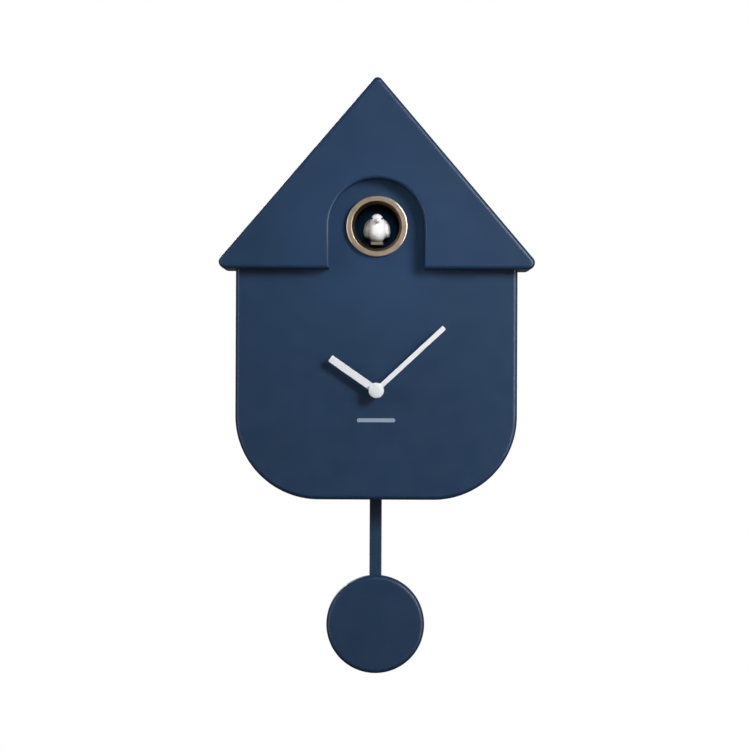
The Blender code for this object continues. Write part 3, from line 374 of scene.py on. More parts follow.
# ---------------------------------------------------------------- materials
class Surface:
    """A Principled material whose pattern is fixed to the object, with sizes in metres."""

    def __init__(self, name, roughness, metallic=0.0, specular=0.5):
        self.material = bpy.data.materials.new(name)
        self.material.use_nodes = True
        tree = self.material.node_tree
        self.nodes, self.links = tree.nodes, tree.links
        self.shader = self.nodes["Principled BSDF"]
        self.shader.inputs["Roughness"].default_value = roughness
        self.shader.inputs["Metallic"].default_value = metallic
        self.shader.inputs["Specular IOR Level"].default_value = specular
        self.place = self.nodes.new("ShaderNodeTexCoord").outputs["Object"]
        self.normal = None

    def _spread(self, stretch):
        if stretch == (1, 1, 1):
            return self.place
        mapping = self.nodes.new("ShaderNodeMapping")
        mapping.inputs["Scale"].default_value = stretch
        self.links.new(self.place, mapping.inputs["Vector"])
        return mapping.outputs["Vector"]

    def noise(self, size, detail, stretch=(1, 1, 1)):
        node = self.nodes.new("ShaderNodeTexNoise")
        node.inputs["Scale"].default_value = 1 / size
        node.inputs["Detail"].default_value = detail
        self.links.new(self._spread(stretch), node.inputs["Vector"])
        return node.outputs["Fac"]

    def bands(self, size):
        """Waves along X, one in every size. The texture repeats in 0.314 over its scale."""
        node = self.nodes.new("ShaderNodeTexWave")
        node.inputs["Scale"].default_value = 0.314 / size
        node.inputs["Distortion"].default_value = 0.0
        node.inputs["Detail"].default_value = 1.0
        self.links.new(self.place, node.inputs["Vector"])
        return node.outputs["Fac"]

    def cells(self, size):
        node = self.nodes.new("ShaderNodeTexVoronoi")
        node.inputs["Scale"].default_value = 1 / size
        self.links.new(self.place, node.inputs["Vector"])
        return node.outputs["Distance"]

    def mapped(self, factor, low, high, source=(0.3, 0.7)):
        node = self.nodes.new("ShaderNodeMapRange")
        node.inputs["From Min"].default_value = source[0]
        node.inputs["From Max"].default_value = source[1]
        node.inputs["To Min"].default_value = low
        node.inputs["To Max"].default_value = high
        self.links.new(factor, node.inputs["Value"])
        return node.outputs["Result"]

    def colour(self, factor, first, second, source=(0.3, 0.7)):
        node = self.nodes.new("ShaderNodeMix")
        node.data_type = "RGBA"
        node.inputs["A"].default_value = (*first, 1)
        node.inputs["B"].default_value = (*second, 1)
        self.links.new(self.mapped(factor, 0, 1, source), node.inputs["Factor"])
        self.links.new(node.outputs["Result"], self.shader.inputs["Base Color"])
        return self

    def roughness(self, factor, low, high):
        self.links.new(self.mapped(factor, low, high), self.shader.inputs["Roughness"])
        return self

    def bump(self, factor, depth):
        node = self.nodes.new("ShaderNodeBump")
        node.inputs["Strength"].default_value = 1.0
        node.inputs["Distance"].default_value = depth
        self.links.new(factor, node.inputs["Height"])
        if self.normal:
            self.links.new(self.normal, node.inputs["Normal"])
        self.normal = node.outputs["Normal"]
        self.links.new(self.normal, self.shader.inputs["Normal"])
        return self


def tinted(colour, share):
    return tuple(channel * share for channel in colour)


def moulded(name, colour, roughness, specular=0.5, depth=0.000010, vary=0.06):
    """Moulded plastic: a fine spark grain, a faint sink and flow of the surface, and slow changes of
    colour and gloss."""
    s = Surface(name, roughness, specular=specular)
    s.colour(s.noise(0.045, 3.0), tinted(colour, 1 - vary), tinted(colour, 1 + vary))
    s.roughness(s.noise(0.012, 3.0), roughness - 0.04, roughness + 0.04)
    s.bump(s.noise(0.020, 1.0), 0.00004)
    s.bump(s.noise(0.00035, 2.0), depth)
    return s.material


def painted(name, colour, roughness=0.35):
    """Satin paint with a soft orange peel."""
    s = Surface(name, roughness)
    s.colour(s.noise(0.006, 2.0), tinted(colour, 0.975), tinted(colour, 1.0))
    s.roughness(s.noise(0.002, 2.0), roughness - 0.04, roughness + 0.04)
    s.bump(s.noise(0.0006, 1.0), 0.000006)
    return s.material


def gold_finish():
    """Satin pale gold with a fine grain and small changes of colour and gloss."""
    s = Surface("ring_gold_look", 0.2, metallic=1.0)
    s.colour(s.noise(0.004, 2.0), (0.56, 0.45, 0.335), (0.63, 0.51, 0.385))
    s.roughness(s.noise(0.003, 3.0), 0.28, 0.38)
    s.bump(s.noise(0.0005, 1.0), 0.000003)
    return s.material


def ring_bevel_shade_finish():
    """The ring's inner bevel, darker than its face: a darker copy of the gold, painted shade for the bevel
    lying in shadow and reflecting the dark bore.
    """
    s = Surface("ring_bevel_shade_look", 0.35, metallic=1.0)
    # painted shade: the gold darkened to a shaded bronze tone
    s.colour(s.noise(0.004, 2.0), (0.11, 0.055, 0.016), (0.16, 0.085, 0.026))
    s.roughness(s.noise(0.003, 3.0), 0.30, 0.42)
    s.bump(s.noise(0.0005, 1.0), 0.000003)
    return s.material


def metal(name, colour, roughness):
    """Drawn or turned metal with fine lines across Z."""
    s = Surface(name, roughness, metallic=1.0)
    lines = s.noise(0.0011, 3.0, (1, 1, 14))
    s.colour(s.noise(0.003, 2.0), tinted(colour, 0.9), tinted(colour, 1.05))
    s.roughness(lines, roughness - 0.06, roughness + 0.10)
    s.bump(lines, 0.000006)
    return s.material


def winding_finish():
    """Enamelled copper wire, wound side by side."""
    s = Surface("copper_wire_look", 0.32, metallic=0.85)
    turns = s.bands(0.00022)
    s.colour(turns, (0.20, 0.06, 0.022), (0.62, 0.25, 0.10))
    s.bump(turns, 0.00006)
    return s.material


def board_finish():
    """Solder mask over copper tracks, with tinned dots."""
    s = Surface("board_green_look", 0.38)
    s.colour(s.cells(0.0035), (0.030, 0.19, 0.085), (0.012, 0.10, 0.045), (0.15, 0.35))
    s.roughness(s.noise(0.0015, 2.0), 0.30, 0.44)
    s.bump(s.cells(0.0035), 0.00003)
    return s.material


def paper_finish():
    """Coated speaker paper with pressed fibres."""
    s = Surface("speaker_paper_look", 0.85, specular=0.2)
    fibres = s.noise(0.0008, 5.0, (1, 1, 3))
    s.colour(fibres, (0.022, 0.022, 0.026), (0.060, 0.060, 0.066))
    s.bump(fibres, 0.00005)
    return s.material


def wrap_finish():
    """Plain dark grey film, slightly uneven."""
    s = Surface("cell_wrap_look", 0.28)
    s.colour(s.noise(0.010, 1.0), (0.050, 0.056, 0.066), (0.075, 0.082, 0.094))
    s.roughness(s.noise(0.004, 2.0), 0.22, 0.34)
    s.bump(s.noise(0.006, 1.0), 0.00002)
    return s.material


NAVY = (0.0090, 0.0345, 0.0850)
WHITE = (0.80, 0.81, 0.84)
FINISHES = {
    "case_blue": moulded("case_blue_look", NAVY, 0.43, 0.27),
    "ring_gold": gold_finish(),
    "hand_white": painted("hand_white_look", WHITE),
    "bird_white": moulded("bird_white_look", (0.82, 0.82, 0.83), 0.45, vary=0.02),
    "perch_brown": moulded("perch_brown_look", (0.16, 0.125, 0.095), 0.6),
    "black_plastic": moulded("black_plastic_look", (0.010, 0.010, 0.012), 0.5, 0.3),
    "gear_plastic": moulded("gear_plastic_look", (0.72, 0.70, 0.63), 0.4, depth=0.000004),
    "steel": metal("steel_look", (0.56, 0.57, 0.59), 0.30),
    "brass": metal("brass_look", (0.70, 0.50, 0.22), 0.24),
    "copper_wire": winding_finish(),
    "board_green": board_finish(),
    "speaker_paper": paper_finish(),
    "cell_wrap": wrap_finish(),
}


# ---------------------------------------------------------------- finishing a piece
def shaded(obj, angle=32.0, weighted=True):
    """Smooth shading with sharp creases, and flat faces kept flat."""
    obj.data.shade_smooth()
    obj.data.set_sharp_from_angle(angle=math.radians(angle))
    if weighted:
        normals = obj.modifiers.new("Flat faces", "WEIGHTED_NORMAL")
        normals.keep_sharp = True
    return obj


def dressed(obj, name, slot, body):
    """Names a piece, gives it its finish and puts it on its body."""
    obj.name = obj.data.name = name
    obj.data.materials.clear()
    obj.data.materials.append(FINISHES[slot])
    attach(obj, body)
    return obj


def stands_for(obj, node, angle=32.0, weighted=True):
    """Puts a fine piece in the place of a plain solid."""
    shaded(obj, angle, weighted)
    dressed(obj, f"{node}_fine", SLOT_OF[node], BODY_OF[node])
    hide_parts(node)
    return obj


# ---------------------------------------------------------------- case
GABLE_INSET = (WALL + 2 * GAP) / math.cos(SLOPE)
GABLE_Z = ROOF_APEX_Z - GABLE_INSET
SHOULDER_Z = GABLE_Z - BODY_HALF * math.tan(SLOPE)
GABLE_R = 0.0036  # must be larger than EDGE_R, or the front edge folds over
ROOF = polygon(
    [
        (-ROOF_HALF, ROOF_EAVE_Z, ROOF_EAVE_R, 12),
        (ROOF_HALF, ROOF_EAVE_Z, ROOF_EAVE_R, 12),
        (0.0, ROOF_APEX_Z, ROOF_APEX_R, 10),
    ]
)
BODY = polygon(
    [
        (-BODY_HALF, BODY_BOTTOM_Z, BODY_CORNER_R, 40),
        (BODY_HALF, BODY_BOTTOM_Z, BODY_CORNER_R, 40),
        (BODY_HALF, SHOULDER_Z, GABLE_R, 6),
        (0.0, GABLE_Z, GABLE_R, 8),
        (-BODY_HALF, SHOULDER_Z, GABLE_R, 6),
    ]
)
COVER_SCREWS = [(-0.089, 0.040), (0.089, 0.040), (-0.050, -0.065), (0.050, -0.065), (0, 0.196)]
MOVEMENT_SCREWS = [(-0.0365, 0.0), (0.0385, 0.0)]
FRAME_SCREWS = [(0.0, 0.0887), (0.044, 0.091)]


def make_body():
    rings = lip(EDGE_R, BODY_FRONT, 1, 9) + lip(RIM_R, 0.0, -1, 3)[::-1]
    rings += [(RIM_R - WALL, 0.0), (-WALL, -RIM_R), (-WALL, FRONT_WALL_IN + 0.001)]
    rings += [(-WALL - 0.001, FRONT_WALL_IN)]
    shell = loft(BODY, rings)
    inside = FRONT_WALL_IN + 0.001
    cut(
        shell,
        sink(disc(0, PORT_Z, PORT_HOLE_R, 64), inside, BODY_FRONT),
        sink(disc(0, 0, SHAFT_HOLE_R, 32), inside, BODY_FRONT),
        sink(
            plate(-ROD_SLOT_HALF, ROD_Y - ROD_SLOT_DEEP, ROD_SLOT_HALF, ROD_Y + ROD_SLOT_DEEP, 0.0048, 8),
            BODY_BOTTOM_Z + WALL + 0.001,
            BODY_BOTTOM_Z,
            0.0005,
            "Z",
        ),
    )
    # screw places, post radius, bore radius, post's end, bore's floor
    posts = (
        (COVER_SCREWS, 0.004, 0.0017, -WALL - GAP, -0.016),
        (MOVEMENT_SCREWS, 0.0035, 0.0014, -0.0623, -0.0698),
        (FRAME_SCREWS, 0.0030, 0.0014, -0.0663, -0.0698),
    )
    for places, radius, bore, top, bottom in posts:
        for x, z in places:
            join(shell, slab(disc(x, z, radius, 24), FRONT_WALL_IN - 0.001, top, edge1=0.0003))
            cut(shell, sink(disc(x, z, bore, 16), bottom, top, 0.0002))
    stands_for(shell, "body_shell")


def make_roof():
    rings = lip(EDGE_R, ROOF_FRONT, 1, 9) + lip(RIM_R, 0.0, -1, 3)[::-1]
    roof = loft(ROOF, rings)
    hollow = slab(lambda grow: ROOF(grow - WALL), ROOF_FRONT + WALL, -WALL)
    cut(hollow, slab(doorway(ARCH_R + WALL, ROOF_EAVE_Z - 0.01), ROOF_FRONT, BODY_FRONT - GAP))
    cut(roof, hollow)
    cut(roof, slab(lambda grow: BODY(grow + GAP), BODY_FRONT - GAP, 0.001))
    cut(
        roof,
        sink(doorway(ARCH_R, ROOF_EAVE_Z - 0.01), BODY_FRONT + 0.001, ROOF_FRONT, ARCH_EDGE_R, steps=9),
    )
    stands_for(roof, "roof_shell")


KEYHOLE_Z, KEYHOLE_TOP_Z = 0.146, 0.156
KEYHOLE_R, KEYHOLE_SLOT_HALF = 0.005, 0.0026
SET_X = 0.0255
WELL_R, WELL_DEPTH, WELL_WALL = 0.016, 0.014, 0.0015
SPEAKER_X, SPEAKER_Z = 0.055, -0.028
SWITCH_X, SWITCH_Z = 0.040, 0.052
BUTTON_X, BUTTON_Z, BUTTON_R = 0.064, 0.052, 0.0040
door_low, door_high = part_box("battery_door")
DOOR_LEFT, DOOR_RIGHT = -0.0807, -0.0283
DOOR_FOOT, DOOR_TOP = -0.0307, 0.0307
HINGE_Y, HINGE_Z = -0.00125, -0.0295
LINE_DEPTH = 0.00025  # of the lines sunk into the cover and the door
THROUGH = -0.004  # a depth past the cover's inner face
KNOB_SHAFT_HOLE_R = 0.0022
SPEAKER_R = 0.0195
SLOT_PITCH, SLOT_HALF_WIDTH, SLOT_REACH = 0.006, 0.0012, 0.0165  # the speaker's slots fill a circle
PANEL = (0.0290, 0.0425, 0.0725, 0.0605)  # left, foot, right and top of the recess round the controls
WEDGE_FOOT, WEDGE_TOP = 0.0568, 0.0588
HINGE_HOLE_R, HINGE_PIN_R = 0.0009, 0.0006
SLIDER_SLOT_HALF, SLIDER_SLOT_RISE = 0.0065, 0.0024
SOUND_POSTS = [(0.0790, 0.0625), (0.0305, 0.0415)]
SOUND_POST_R, SOUND_POST_END = 0.003, -0.0101


def arrow_round(u, v, radius, start, end, width=0.0007, head=0.0022):
    """Points of a curved arrow about (u, v), as closed outlines: its band and its head."""
    steps = 14
    band = []
    for r, order in ((radius + width / 2, range(steps + 1)), (radius - width / 2, range(steps, -1, -1))):
        for k in order:
            angle = math.radians(start + (end - start) * k / steps)
            band.append((u + r * math.cos(angle), v + r * math.sin(angle)))
    sense = 1 if end > start else -1
    tip = math.radians(end + sense * math.degrees(head / radius) * 0.9)
    root = math.radians(end - sense * 2)
    point = [
        (u + (radius + head * 0.6) * math.cos(root), v + (radius + head * 0.6) * math.sin(root)),
        (u + radius * math.cos(tip), v + radius * math.sin(tip)),
        (u + (radius - head * 0.6) * math.cos(root), v + (radius - head * 0.6) * math.sin(root)),
    ]
    return band, point


def engrave(target, *outlines, surface=0.0, depth=LINE_DEPTH):
    for outline in outlines:
        cut(target, slab(lambda grow, o=outline: o, surface - depth, surface + 0.001))


def make_rear_cover():
    cover = slab(lambda grow: BODY(grow - WALL - GAP), -WALL, 0.0, edge0=0.0002, edge1=0.0004)
    join(cover, slab(disc(SET_X, 0, WELL_R + WELL_WALL, 64), -WELL_DEPTH, -0.001, edge0=0.0006))
    for x, z in SOUND_POSTS:
        join(cover, slab(disc(x, z, SOUND_POST_R, 24), SOUND_POST_END, -0.001, edge0=0.0003))
    # shallow recesses first, then the holes in their floors
    speaker_floor, panel_floor = -0.0006, -0.0005
    cut(
        cover,
        sink(disc(SPEAKER_X, SPEAKER_Z, SPEAKER_R, 72), speaker_floor, 0.0),
        sink(plate(*PANEL, 0.004, 8), panel_floor, 0.0),
        sink(disc(SET_X, 0, WELL_R, 72), -WELL_DEPTH + WELL_WALL, 0.0, 0.0008),
        sink(disc(SET_X, 0, KNOB_SHAFT_HOLE_R, 24), -WELL_DEPTH - 0.001, -WELL_DEPTH + WELL_WALL, 0.0002),
        sink(disc(0, KEYHOLE_Z, KEYHOLE_R, 48), THROUGH, 0.0, 0.0004),
        sink(
            plate(-KEYHOLE_SLOT_HALF, KEYHOLE_Z, KEYHOLE_SLOT_HALF, KEYHOLE_TOP_Z, 0.0024, 8),
            THROUGH,
            0.0,
            0.0004,
        ),
        sink(
            plate(DOOR_LEFT - 0.0004, DOOR_FOOT - 0.0008, DOOR_RIGHT + 0.0004, DOOR_TOP + 0.0004, 0.0015),
            THROUGH,
            0.0,
        ),
        slab(disc(HINGE_Y, HINGE_Z, HINGE_HOLE_R, 16), DOOR_LEFT - 0.0018, DOOR_RIGHT + 0.0018, "X"),
        sink(
            plate(
                SWITCH_X - SLIDER_SLOT_HALF,
                SWITCH_Z - SLIDER_SLOT_RISE,
                SWITCH_X + SLIDER_SLOT_HALF,
                SWITCH_Z + SLIDER_SLOT_RISE,
                0.0008,
            ),
            THROUGH,
            panel_floor,
            0.0002,
        ),
        sink(disc(BUTTON_X, BUTTON_Z, BUTTON_R + 0.0003, 40), THROUGH, panel_floor, 0.0002),
    )
    for k in range(-2, 3):
        x = SPEAKER_X + SLOT_PITCH * k
        half = math.sqrt(SLOT_REACH**2 - (SLOT_PITCH * k) ** 2)
        slot = plate(
            x - SLOT_HALF_WIDTH, SPEAKER_Z - half, x + SLOT_HALF_WIDTH, SPEAKER_Z + half, 0.00119, 6
        )
        cut(cover, sink(slot, THROUGH, speaker_floor, 0.0003))
    for x, z in COVER_SCREWS:
        cut(
            cover,
            sink(disc(x, z, 0.0034, 32), -0.0015, 0.0),
            sink(disc(x, z, 0.0017, 16), THROUGH, -0.001),
        )
    ring = arrow_round(SET_X, 0, WELL_R + 0.0032, 60, 118)
    wedge = [
        (SWITCH_X - 0.006, WEDGE_FOOT),
        (SWITCH_X + 0.006, WEDGE_FOOT),
        (SWITCH_X + 0.006, WEDGE_TOP),
    ]
    engrave(cover, *ring)
    engrave(cover, wedge, surface=panel_floor)
    stands_for(cover, "rear_cover")


def make_screws():
    """Pan-head screws with a cross recess. Every head faces the back of the clock."""
    for node, slot in SLOT_OF.items():
        if "_screw_" not in node:
            continue
        low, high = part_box(node)
        x, z = (low.x + high.x) / 2, (low.z + high.z) / 2
        head_r = (high.x - low.x) / 2
        thick = 0.0010 if node.startswith("cover") else 0.0013
        shank_r = 0.0014 if node.startswith("cover") else 0.0011
        top, seat = high.y, high.y - thick
        profile = [
            (0, top),
            (head_r * 0.62, top - 0.00008),
            (head_r, top - thick * 0.55, thick * 0.4),
            (head_r, seat, 0),
            (shank_r, seat, 0),
            (shank_r, low.y + 0.001, 0),
            (0, low.y),
        ]
        screw = turned(soften(profile, 0.0004), x, z, 32)
        arm, blade_half = head_r * 0.62, head_r * 0.13
        for long_x, long_z in ((arm, blade_half), (blade_half, arm)):
            corner = (x - long_x, top - thick * 0.62, z - long_z)
            cut(screw, block(corner, (x + long_x, top + 0.001, z + long_z)))
        stands_for(screw, node)


# ---------------------------------------------------------------- port
def make_port():
    front = ring_low.y
    ring = turned(
        soften(
            [
                (RING_R, BODY_FRONT - GAP, 0.0001),
                (RING_R, front, 0.0008),
                (RING_FLAT_R, front, 0.0003),
                (PORT_BORE_R, FRONT_WALL_IN - 0.0001, 0.0004),
                (0.0179, FRONT_WALL_IN - 0.0001, 0),
                (0.0179, BODY_FRONT - GAP, 0),
            ],
            0.0003,
            5,
            closed=True,
        ),
        0,
        PORT_Z,
        128,
    )
    stands_for(ring, "port_ring", 50)
    # the inner bevel's faces get the darker copy of the gold: painted shade
    ring.data.materials.append(ring_bevel_shade_finish())
    for face in ring.data.polygons:
        from_axis = math.hypot(face.center.x, face.center.z - PORT_Z)
        face.material_index = 1 if from_axis < RING_FLAT_R - 0.0001 else 0
    tunnel_low, tunnel_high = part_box("bird_tunnel")
    tunnel = turned(
        soften(
            [
                (PORT_BORE_R, tunnel_low.y, 0.0001),
                (PORT_BORE_R, tunnel_high.y, 0.0005),
                (PORT_BORE_R + 0.0015, tunnel_high.y, 0.0005),
                (PORT_BORE_R + 0.0015, tunnel_low.y + 0.0012, 0.0003),
                (tunnel_high.x, tunnel_low.y + 0.0012, 0.0002),
                (tunnel_high.x, tunnel_low.y, 0.0002),
            ],
            0.0003,
            closed=True,
        ),
        0,
        PORT_Z,
        96,
    )
    stands_for(tunnel, "bird_tunnel", 50)


# ---------------------------------------------------------------- bird
PERCH_TOP = PORT_Z - 0.0106
BIRD_GRID = 0.00042  # the size of the cells that grow it together
BIRD_REACH = 0.0196  # from the beak's tip back to the middle of the body
BIRD_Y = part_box("bird")[0].y + BIRD_REACH


def make_bird():
    """Ellipsoids grown together: body, breast, neck, head, tail root, beak, folded wings in three
    layers and two tail feathers. The eyes are a piece of their own."""
    y, z = BIRD_Y, PORT_Z
    beak = [
        (0, y - BIRD_REACH),
        (0.0006, y - 0.0184),
        (0.0016, y - 0.0156),
        (0.0018, y - 0.0120),
        (0, y - 0.0120),
    ]
    lumps = [
        ball((0, y, z - 0.0026), (0.0071, 0.0136, 0.0086)),
        ball((0, y - 0.0062, z - 0.0022), (0.0064, 0.0076, 0.0080)),
        ball((0, y - 0.0078, z + 0.0020), (0.0056, 0.0058, 0.0056)),
        ball((0, y - 0.0096, z + 0.0042), (0.0045, 0.0050, 0.0044)),
        ball((0, y + 0.0120, z - 0.0014), (0.0042, 0.0085, 0.0030)),
        turned(beak, 0, z + 0.0037, 16),
    ]
    for side in (-1, 1):
        lean = -12 * side
        lumps += [
            ball((side * 0.0058, y - 0.0010, z - 0.0014), (0.0034, 0.0080, 0.0064), lean),
            ball((side * 0.0064, y + 0.0045, z - 0.0028), (0.0025, 0.0098, 0.0050), lean),
            ball((side * 0.0060, y + 0.0080, z - 0.0040), (0.0018, 0.0100, 0.0034), lean),
            ball((side * 0.0016, y + 0.0145, z - 0.0006), (0.0022, 0.0062, 0.0010), lean / 4),
        ]
    bird = gathered(lumps)
    remesh = bird.modifiers.new("Grow together", "REMESH")
    remesh.mode = "VOXEL"
    remesh.voxel_size = BIRD_GRID
    soft = bird.modifiers.new("Soften", "SMOOTH")
    soft.factor = 0.5
    soft.iterations = 7
    applied(bird)
    for vert in bird.data.vertices:
        vert.co.z = max(vert.co.z, PERCH_TOP + GAP)
    stands_for(bird, "bird", 60, weighted=False)
    eye = (0.0008, 0.0008, 0.0008)
    eyes = gathered([ball((x, y - 0.0124, z + 0.0052), eye, 0, 16, 10) for x in (-0.00345, 0.00345)])
    shaded(eyes, 80, weighted=False)
    dressed(eyes, "bird_eyes", "black_plastic", "cuckoo")


# ---------------------------------------------------------------- hands
def make_hands():
    # node, hub radius, length, width, degrees clockwise from twelve, bore radius
    sizes = (
        ("hour_hand", 0.0049, 0.0386, 0.0052, -55.2, 0.0028),
        ("minute_hand", 0.0046, 0.0635, 0.0034, 47.0, 0.0013),
    )
    for node, hub_r, length, width, degrees, bore in sizes:
        low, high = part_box(node)
        blade = slab(hand(hub_r, length, width, degrees), low.y, high.y, edge0=0.0003, edge1=0.0001)
        cut(blade, slab(disc(0, 0, bore, 24), low.y - 0.001, high.y + 0.001))
        stands_for(blade, node)
    low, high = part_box("hand_cap")
    hub_r = high.x
    profile = [
        (0, low.y),
        (hub_r * 0.55, low.y + 0.00012, 0.004),
        (hub_r, low.y + 0.0008, 0.0008),
        (hub_r, high.y, 0.0002),
        (0.0013, high.y, 0),
        (0.0013, high.y - 0.0013, 0),
        (0, high.y - 0.0013),
    ]
    stands_for(turned(soften(profile, 0.0, 6), 0, 0, 64), "hand_cap")


def make_face_mark():
    """A plain printed dash under the hands."""
    low_z, high_z = MARK_Z - MARK_HALF_HEIGHT, MARK_Z + MARK_HALF_HEIGHT
    dash = slab(
        plate(-MARK_HALF_LENGTH, low_z, MARK_HALF_LENGTH, high_z, 0.0012, 8),
        BODY_FRONT - MARK_THICK,
        BODY_FRONT + MARK_THICK,
    )
    shaded(dash)
    dash.name = dash.data.name = "face_mark"
    dash.data.materials.append(painted("face_mark_look", (0.27, 0.34, 0.44), 0.45))
    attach(dash, "case")


# ---------------------------------------------------------------- pendulum
def make_pendulum():
    half = rod_high.x
    strip = slab(
        polygon(
            [
                (-half, rod_low.z, 0.001, 4),
                (half, rod_low.z, 0.001, 4),
                (half, rod_high.z, 0.003, 6),
                (-half, rod_high.z, 0.003, 6),
            ]
        ),
        rod_low.y,
        rod_high.y,
        edge0=0.0007,
        edge1=0.0007,
    )
    cut(strip, slab(disc(0, -0.022, 0.0017, 24), -0.050, -0.040))
    stands_for(strip, "pendulum_rod")

    front_low, front_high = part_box("bob_front")
    back_low, back_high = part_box("bob_back")
    radius = front_high.x
    centre_z = (front_low.z + front_high.z) / 2
    bob = turned(
        soften(
            [
                (0, front_low.y),
                (radius, front_low.y, 0.003),
                (radius, front_high.y, 0.0003),
                (radius - 0.002, front_high.y, 0.0002),
                (radius - 0.002, front_low.y + 0.0020, 0.0015),
                (0, front_low.y + 0.0020),
            ],
            0.0,
            8,
        ),
        0,
        centre_z,
        160,
    )
    notch = block(
        (-half - GAP, rod_low.y - GAP, centre_z + 0.020), (half + GAP, back_low.y, centre_z + radius + 0.002)
    )
    stands_for(cut(bob, notch), "bob_front")
    lid = turned(
        soften(
            [(0, back_low.y), (radius, back_low.y, 0.0003), (radius, back_high.y, 0.0012), (0, back_high.y)],
            0.0,
            6,
        ),
        0,
        centre_z,
        160,
    )
    cut(lid, sink(disc(0, centre_z, radius * 0.62, 96), back_high.y - 0.0004, back_high.y, 0.0003))
    stands_for(lid, "bob_back")


# ---------------------------------------------------------------- back controls
def make_set_knob():
    """A knob with a fluted grip and two curved arrows in its sunk end."""
    low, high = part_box("set_knob")
    radius = (high.x - low.x) / 2
    x = (low.x + high.x) / 2
    flutes, flute_depth, sunk = 24, 0.00044, 0.0005

    def outline(grow):
        points = []
        for k in range(flutes * 8):
            angle = 2 * math.pi * k / (flutes * 8)
            wave = flute_depth / 2 * (1 + math.cos(flutes * angle))
            r = radius + grow - flute_depth + wave
            points.append((x + r * math.cos(angle), r * math.sin(angle)))
        return points

    knob = slab(outline, low.y, high.y, edge0=0.0004, edge1=0.0008)
    cut(
        knob,
        sink(disc(x, 0, radius - 0.0016, 64), high.y - sunk, high.y, 0.0003),
        slab(disc(x, 0, 0.0018, 24), low.y - 0.001, -0.0027),
    )
    for start in (30, 210):
        arrow = arrow_round(x, 0, 0.0040, start, start + 100, 0.0006, 0.0018)
        engrave(knob, *arrow, surface=high.y - sunk)
    stands_for(knob, "set_knob")


def make_battery_door():
    front, back = -0.0021, door_high.y
    shape = plate(DOOR_LEFT, DOOR_FOOT, DOOR_RIGHT, DOOR_TOP, 0.0012)
    door = slab(shape, front, back, edge0=0.0002, edge1=0.0004)
    join(door, slab(disc(HINGE_Y, HINGE_Z, HINGE_PIN_R, 16), door_low.x, door_high.x, "X"))
    middle = (DOOR_LEFT + DOOR_RIGHT) / 2
    cut(door, sink(disc(middle, DOOR_TOP + 0.001, 0.006, 48), -0.0012, back))
    for k in range(3):
        z = DOOR_TOP - 0.0085 - 0.0022 * k
        rib = plate(middle - 0.008, z - 0.0005, middle + 0.008, z + 0.0005, 0.00049, 6)
        cut(door, sink(rib, back - 0.0004, back, 0.0002))
    border = 0.0035
    groove = plate(DOOR_LEFT + border, DOOR_FOOT + border, DOOR_RIGHT - border, DOOR_TOP - 0.018, 0.002)
    inner = plate(
        DOOR_LEFT + border + 0.0006,
        DOOR_FOOT + border + 0.0006,
        DOOR_RIGHT - border - 0.0006,
        DOOR_TOP - 0.0186,
        0.0014,
    )
    line = slab(groove, back - LINE_DEPTH, back + 0.001)
    cut(line, slab(inner, back - 0.001, back + 0.002))
    cut(door, line)
    stands_for(door, "battery_door")


def make_switches():
    low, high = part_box("volume_slider")
    knob = slab(
        plate(SWITCH_X - 0.0022, SWITCH_Z - 0.0020, SWITCH_X + 0.0022, SWITCH_Z + 0.0020, 0.0005),
        low.y,
        high.y,
        edge1=0.0003,
    )
    join(knob, block((low.x, -0.0041, low.z), (high.x, -0.0030, high.z), 0.0002))
    for k in (-1, 0, 1):
        x = SWITCH_X + 0.0011 * k
        corner = (x - 0.0002, high.y - 0.0003, SWITCH_Z - 0.003)
        cut(knob, block(corner, (x + 0.0002, 0.001, SWITCH_Z + 0.003)))
    stands_for(knob, "volume_slider")
    low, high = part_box("test_button")
    button = slab(disc(BUTTON_X, BUTTON_Z, BUTTON_R, 48), low.y, high.y, edge1=0.0005)
    join(button, slab(disc(BUTTON_X, BUTTON_Z, 0.0052, 48), -0.0041, -0.0029, edge0=0.0002, edge1=0.0002))
    dish = ball((BUTTON_X, high.y + 0.0085, BUTTON_Z), (0.009, 0.009, 0.009), 0, 64, 48)
    stands_for(cut(button, dish), "test_button")


# ---------------------------------------------------------------- battery bay
def make_cells():
    """Three cells, laid head to foot, each in a film with bare ends, and a spring at each foot."""
    for k in range(3):
        node = f"cell_{k + 1}"
        low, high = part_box(node)
        x, y = (low.x + high.x) / 2, (low.y + high.y) / 2
        radius, half = (high.x - low.x) / 2, high.z
        up = 1 if k % 2 == 0 else -1
        film = [
            (0, -half + 0.0006),
            (radius - 0.0012, -half + 0.0006, 0.0002),
            (radius, -half + 0.0002, 0.0008),
            (radius, half - 0.0012, 0.0009),
            (radius - 0.0014, half - 0.0014, 0.0002),
            (0, half - 0.0014),
        ]
        wrap = turned([(r, up * w) for r, w in soften(film, 0.0, 4)], x, y, 64, "Z")
        stands_for(wrap, node)
        cap = [
            (0, half),
            (0.0027, half, 0.0004),
            (0.0027, half - 0.0010, 0.0003),
            (0.0052, half - 0.0013, 0),
            (0.0052, half - 0.0016, 0),
            (0, half - 0.0016),
        ]
        foot = [(0, -half), (0.0056, -half, 0.0003), (0.0058, -half + 0.0008, 0), (0, -half + 0.0008)]
        ends = gathered(
            [turned([(r, up * w) for r, w in soften(path, 0.0, 4)], x, y, 48, "Z") for path in (cap, foot)]
        )
        shaded(ends)
        dressed(ends, f"{node}_ends", "steel", "case")
        make_spring(f"contact_spring_{k + 1}", x, y, -up)


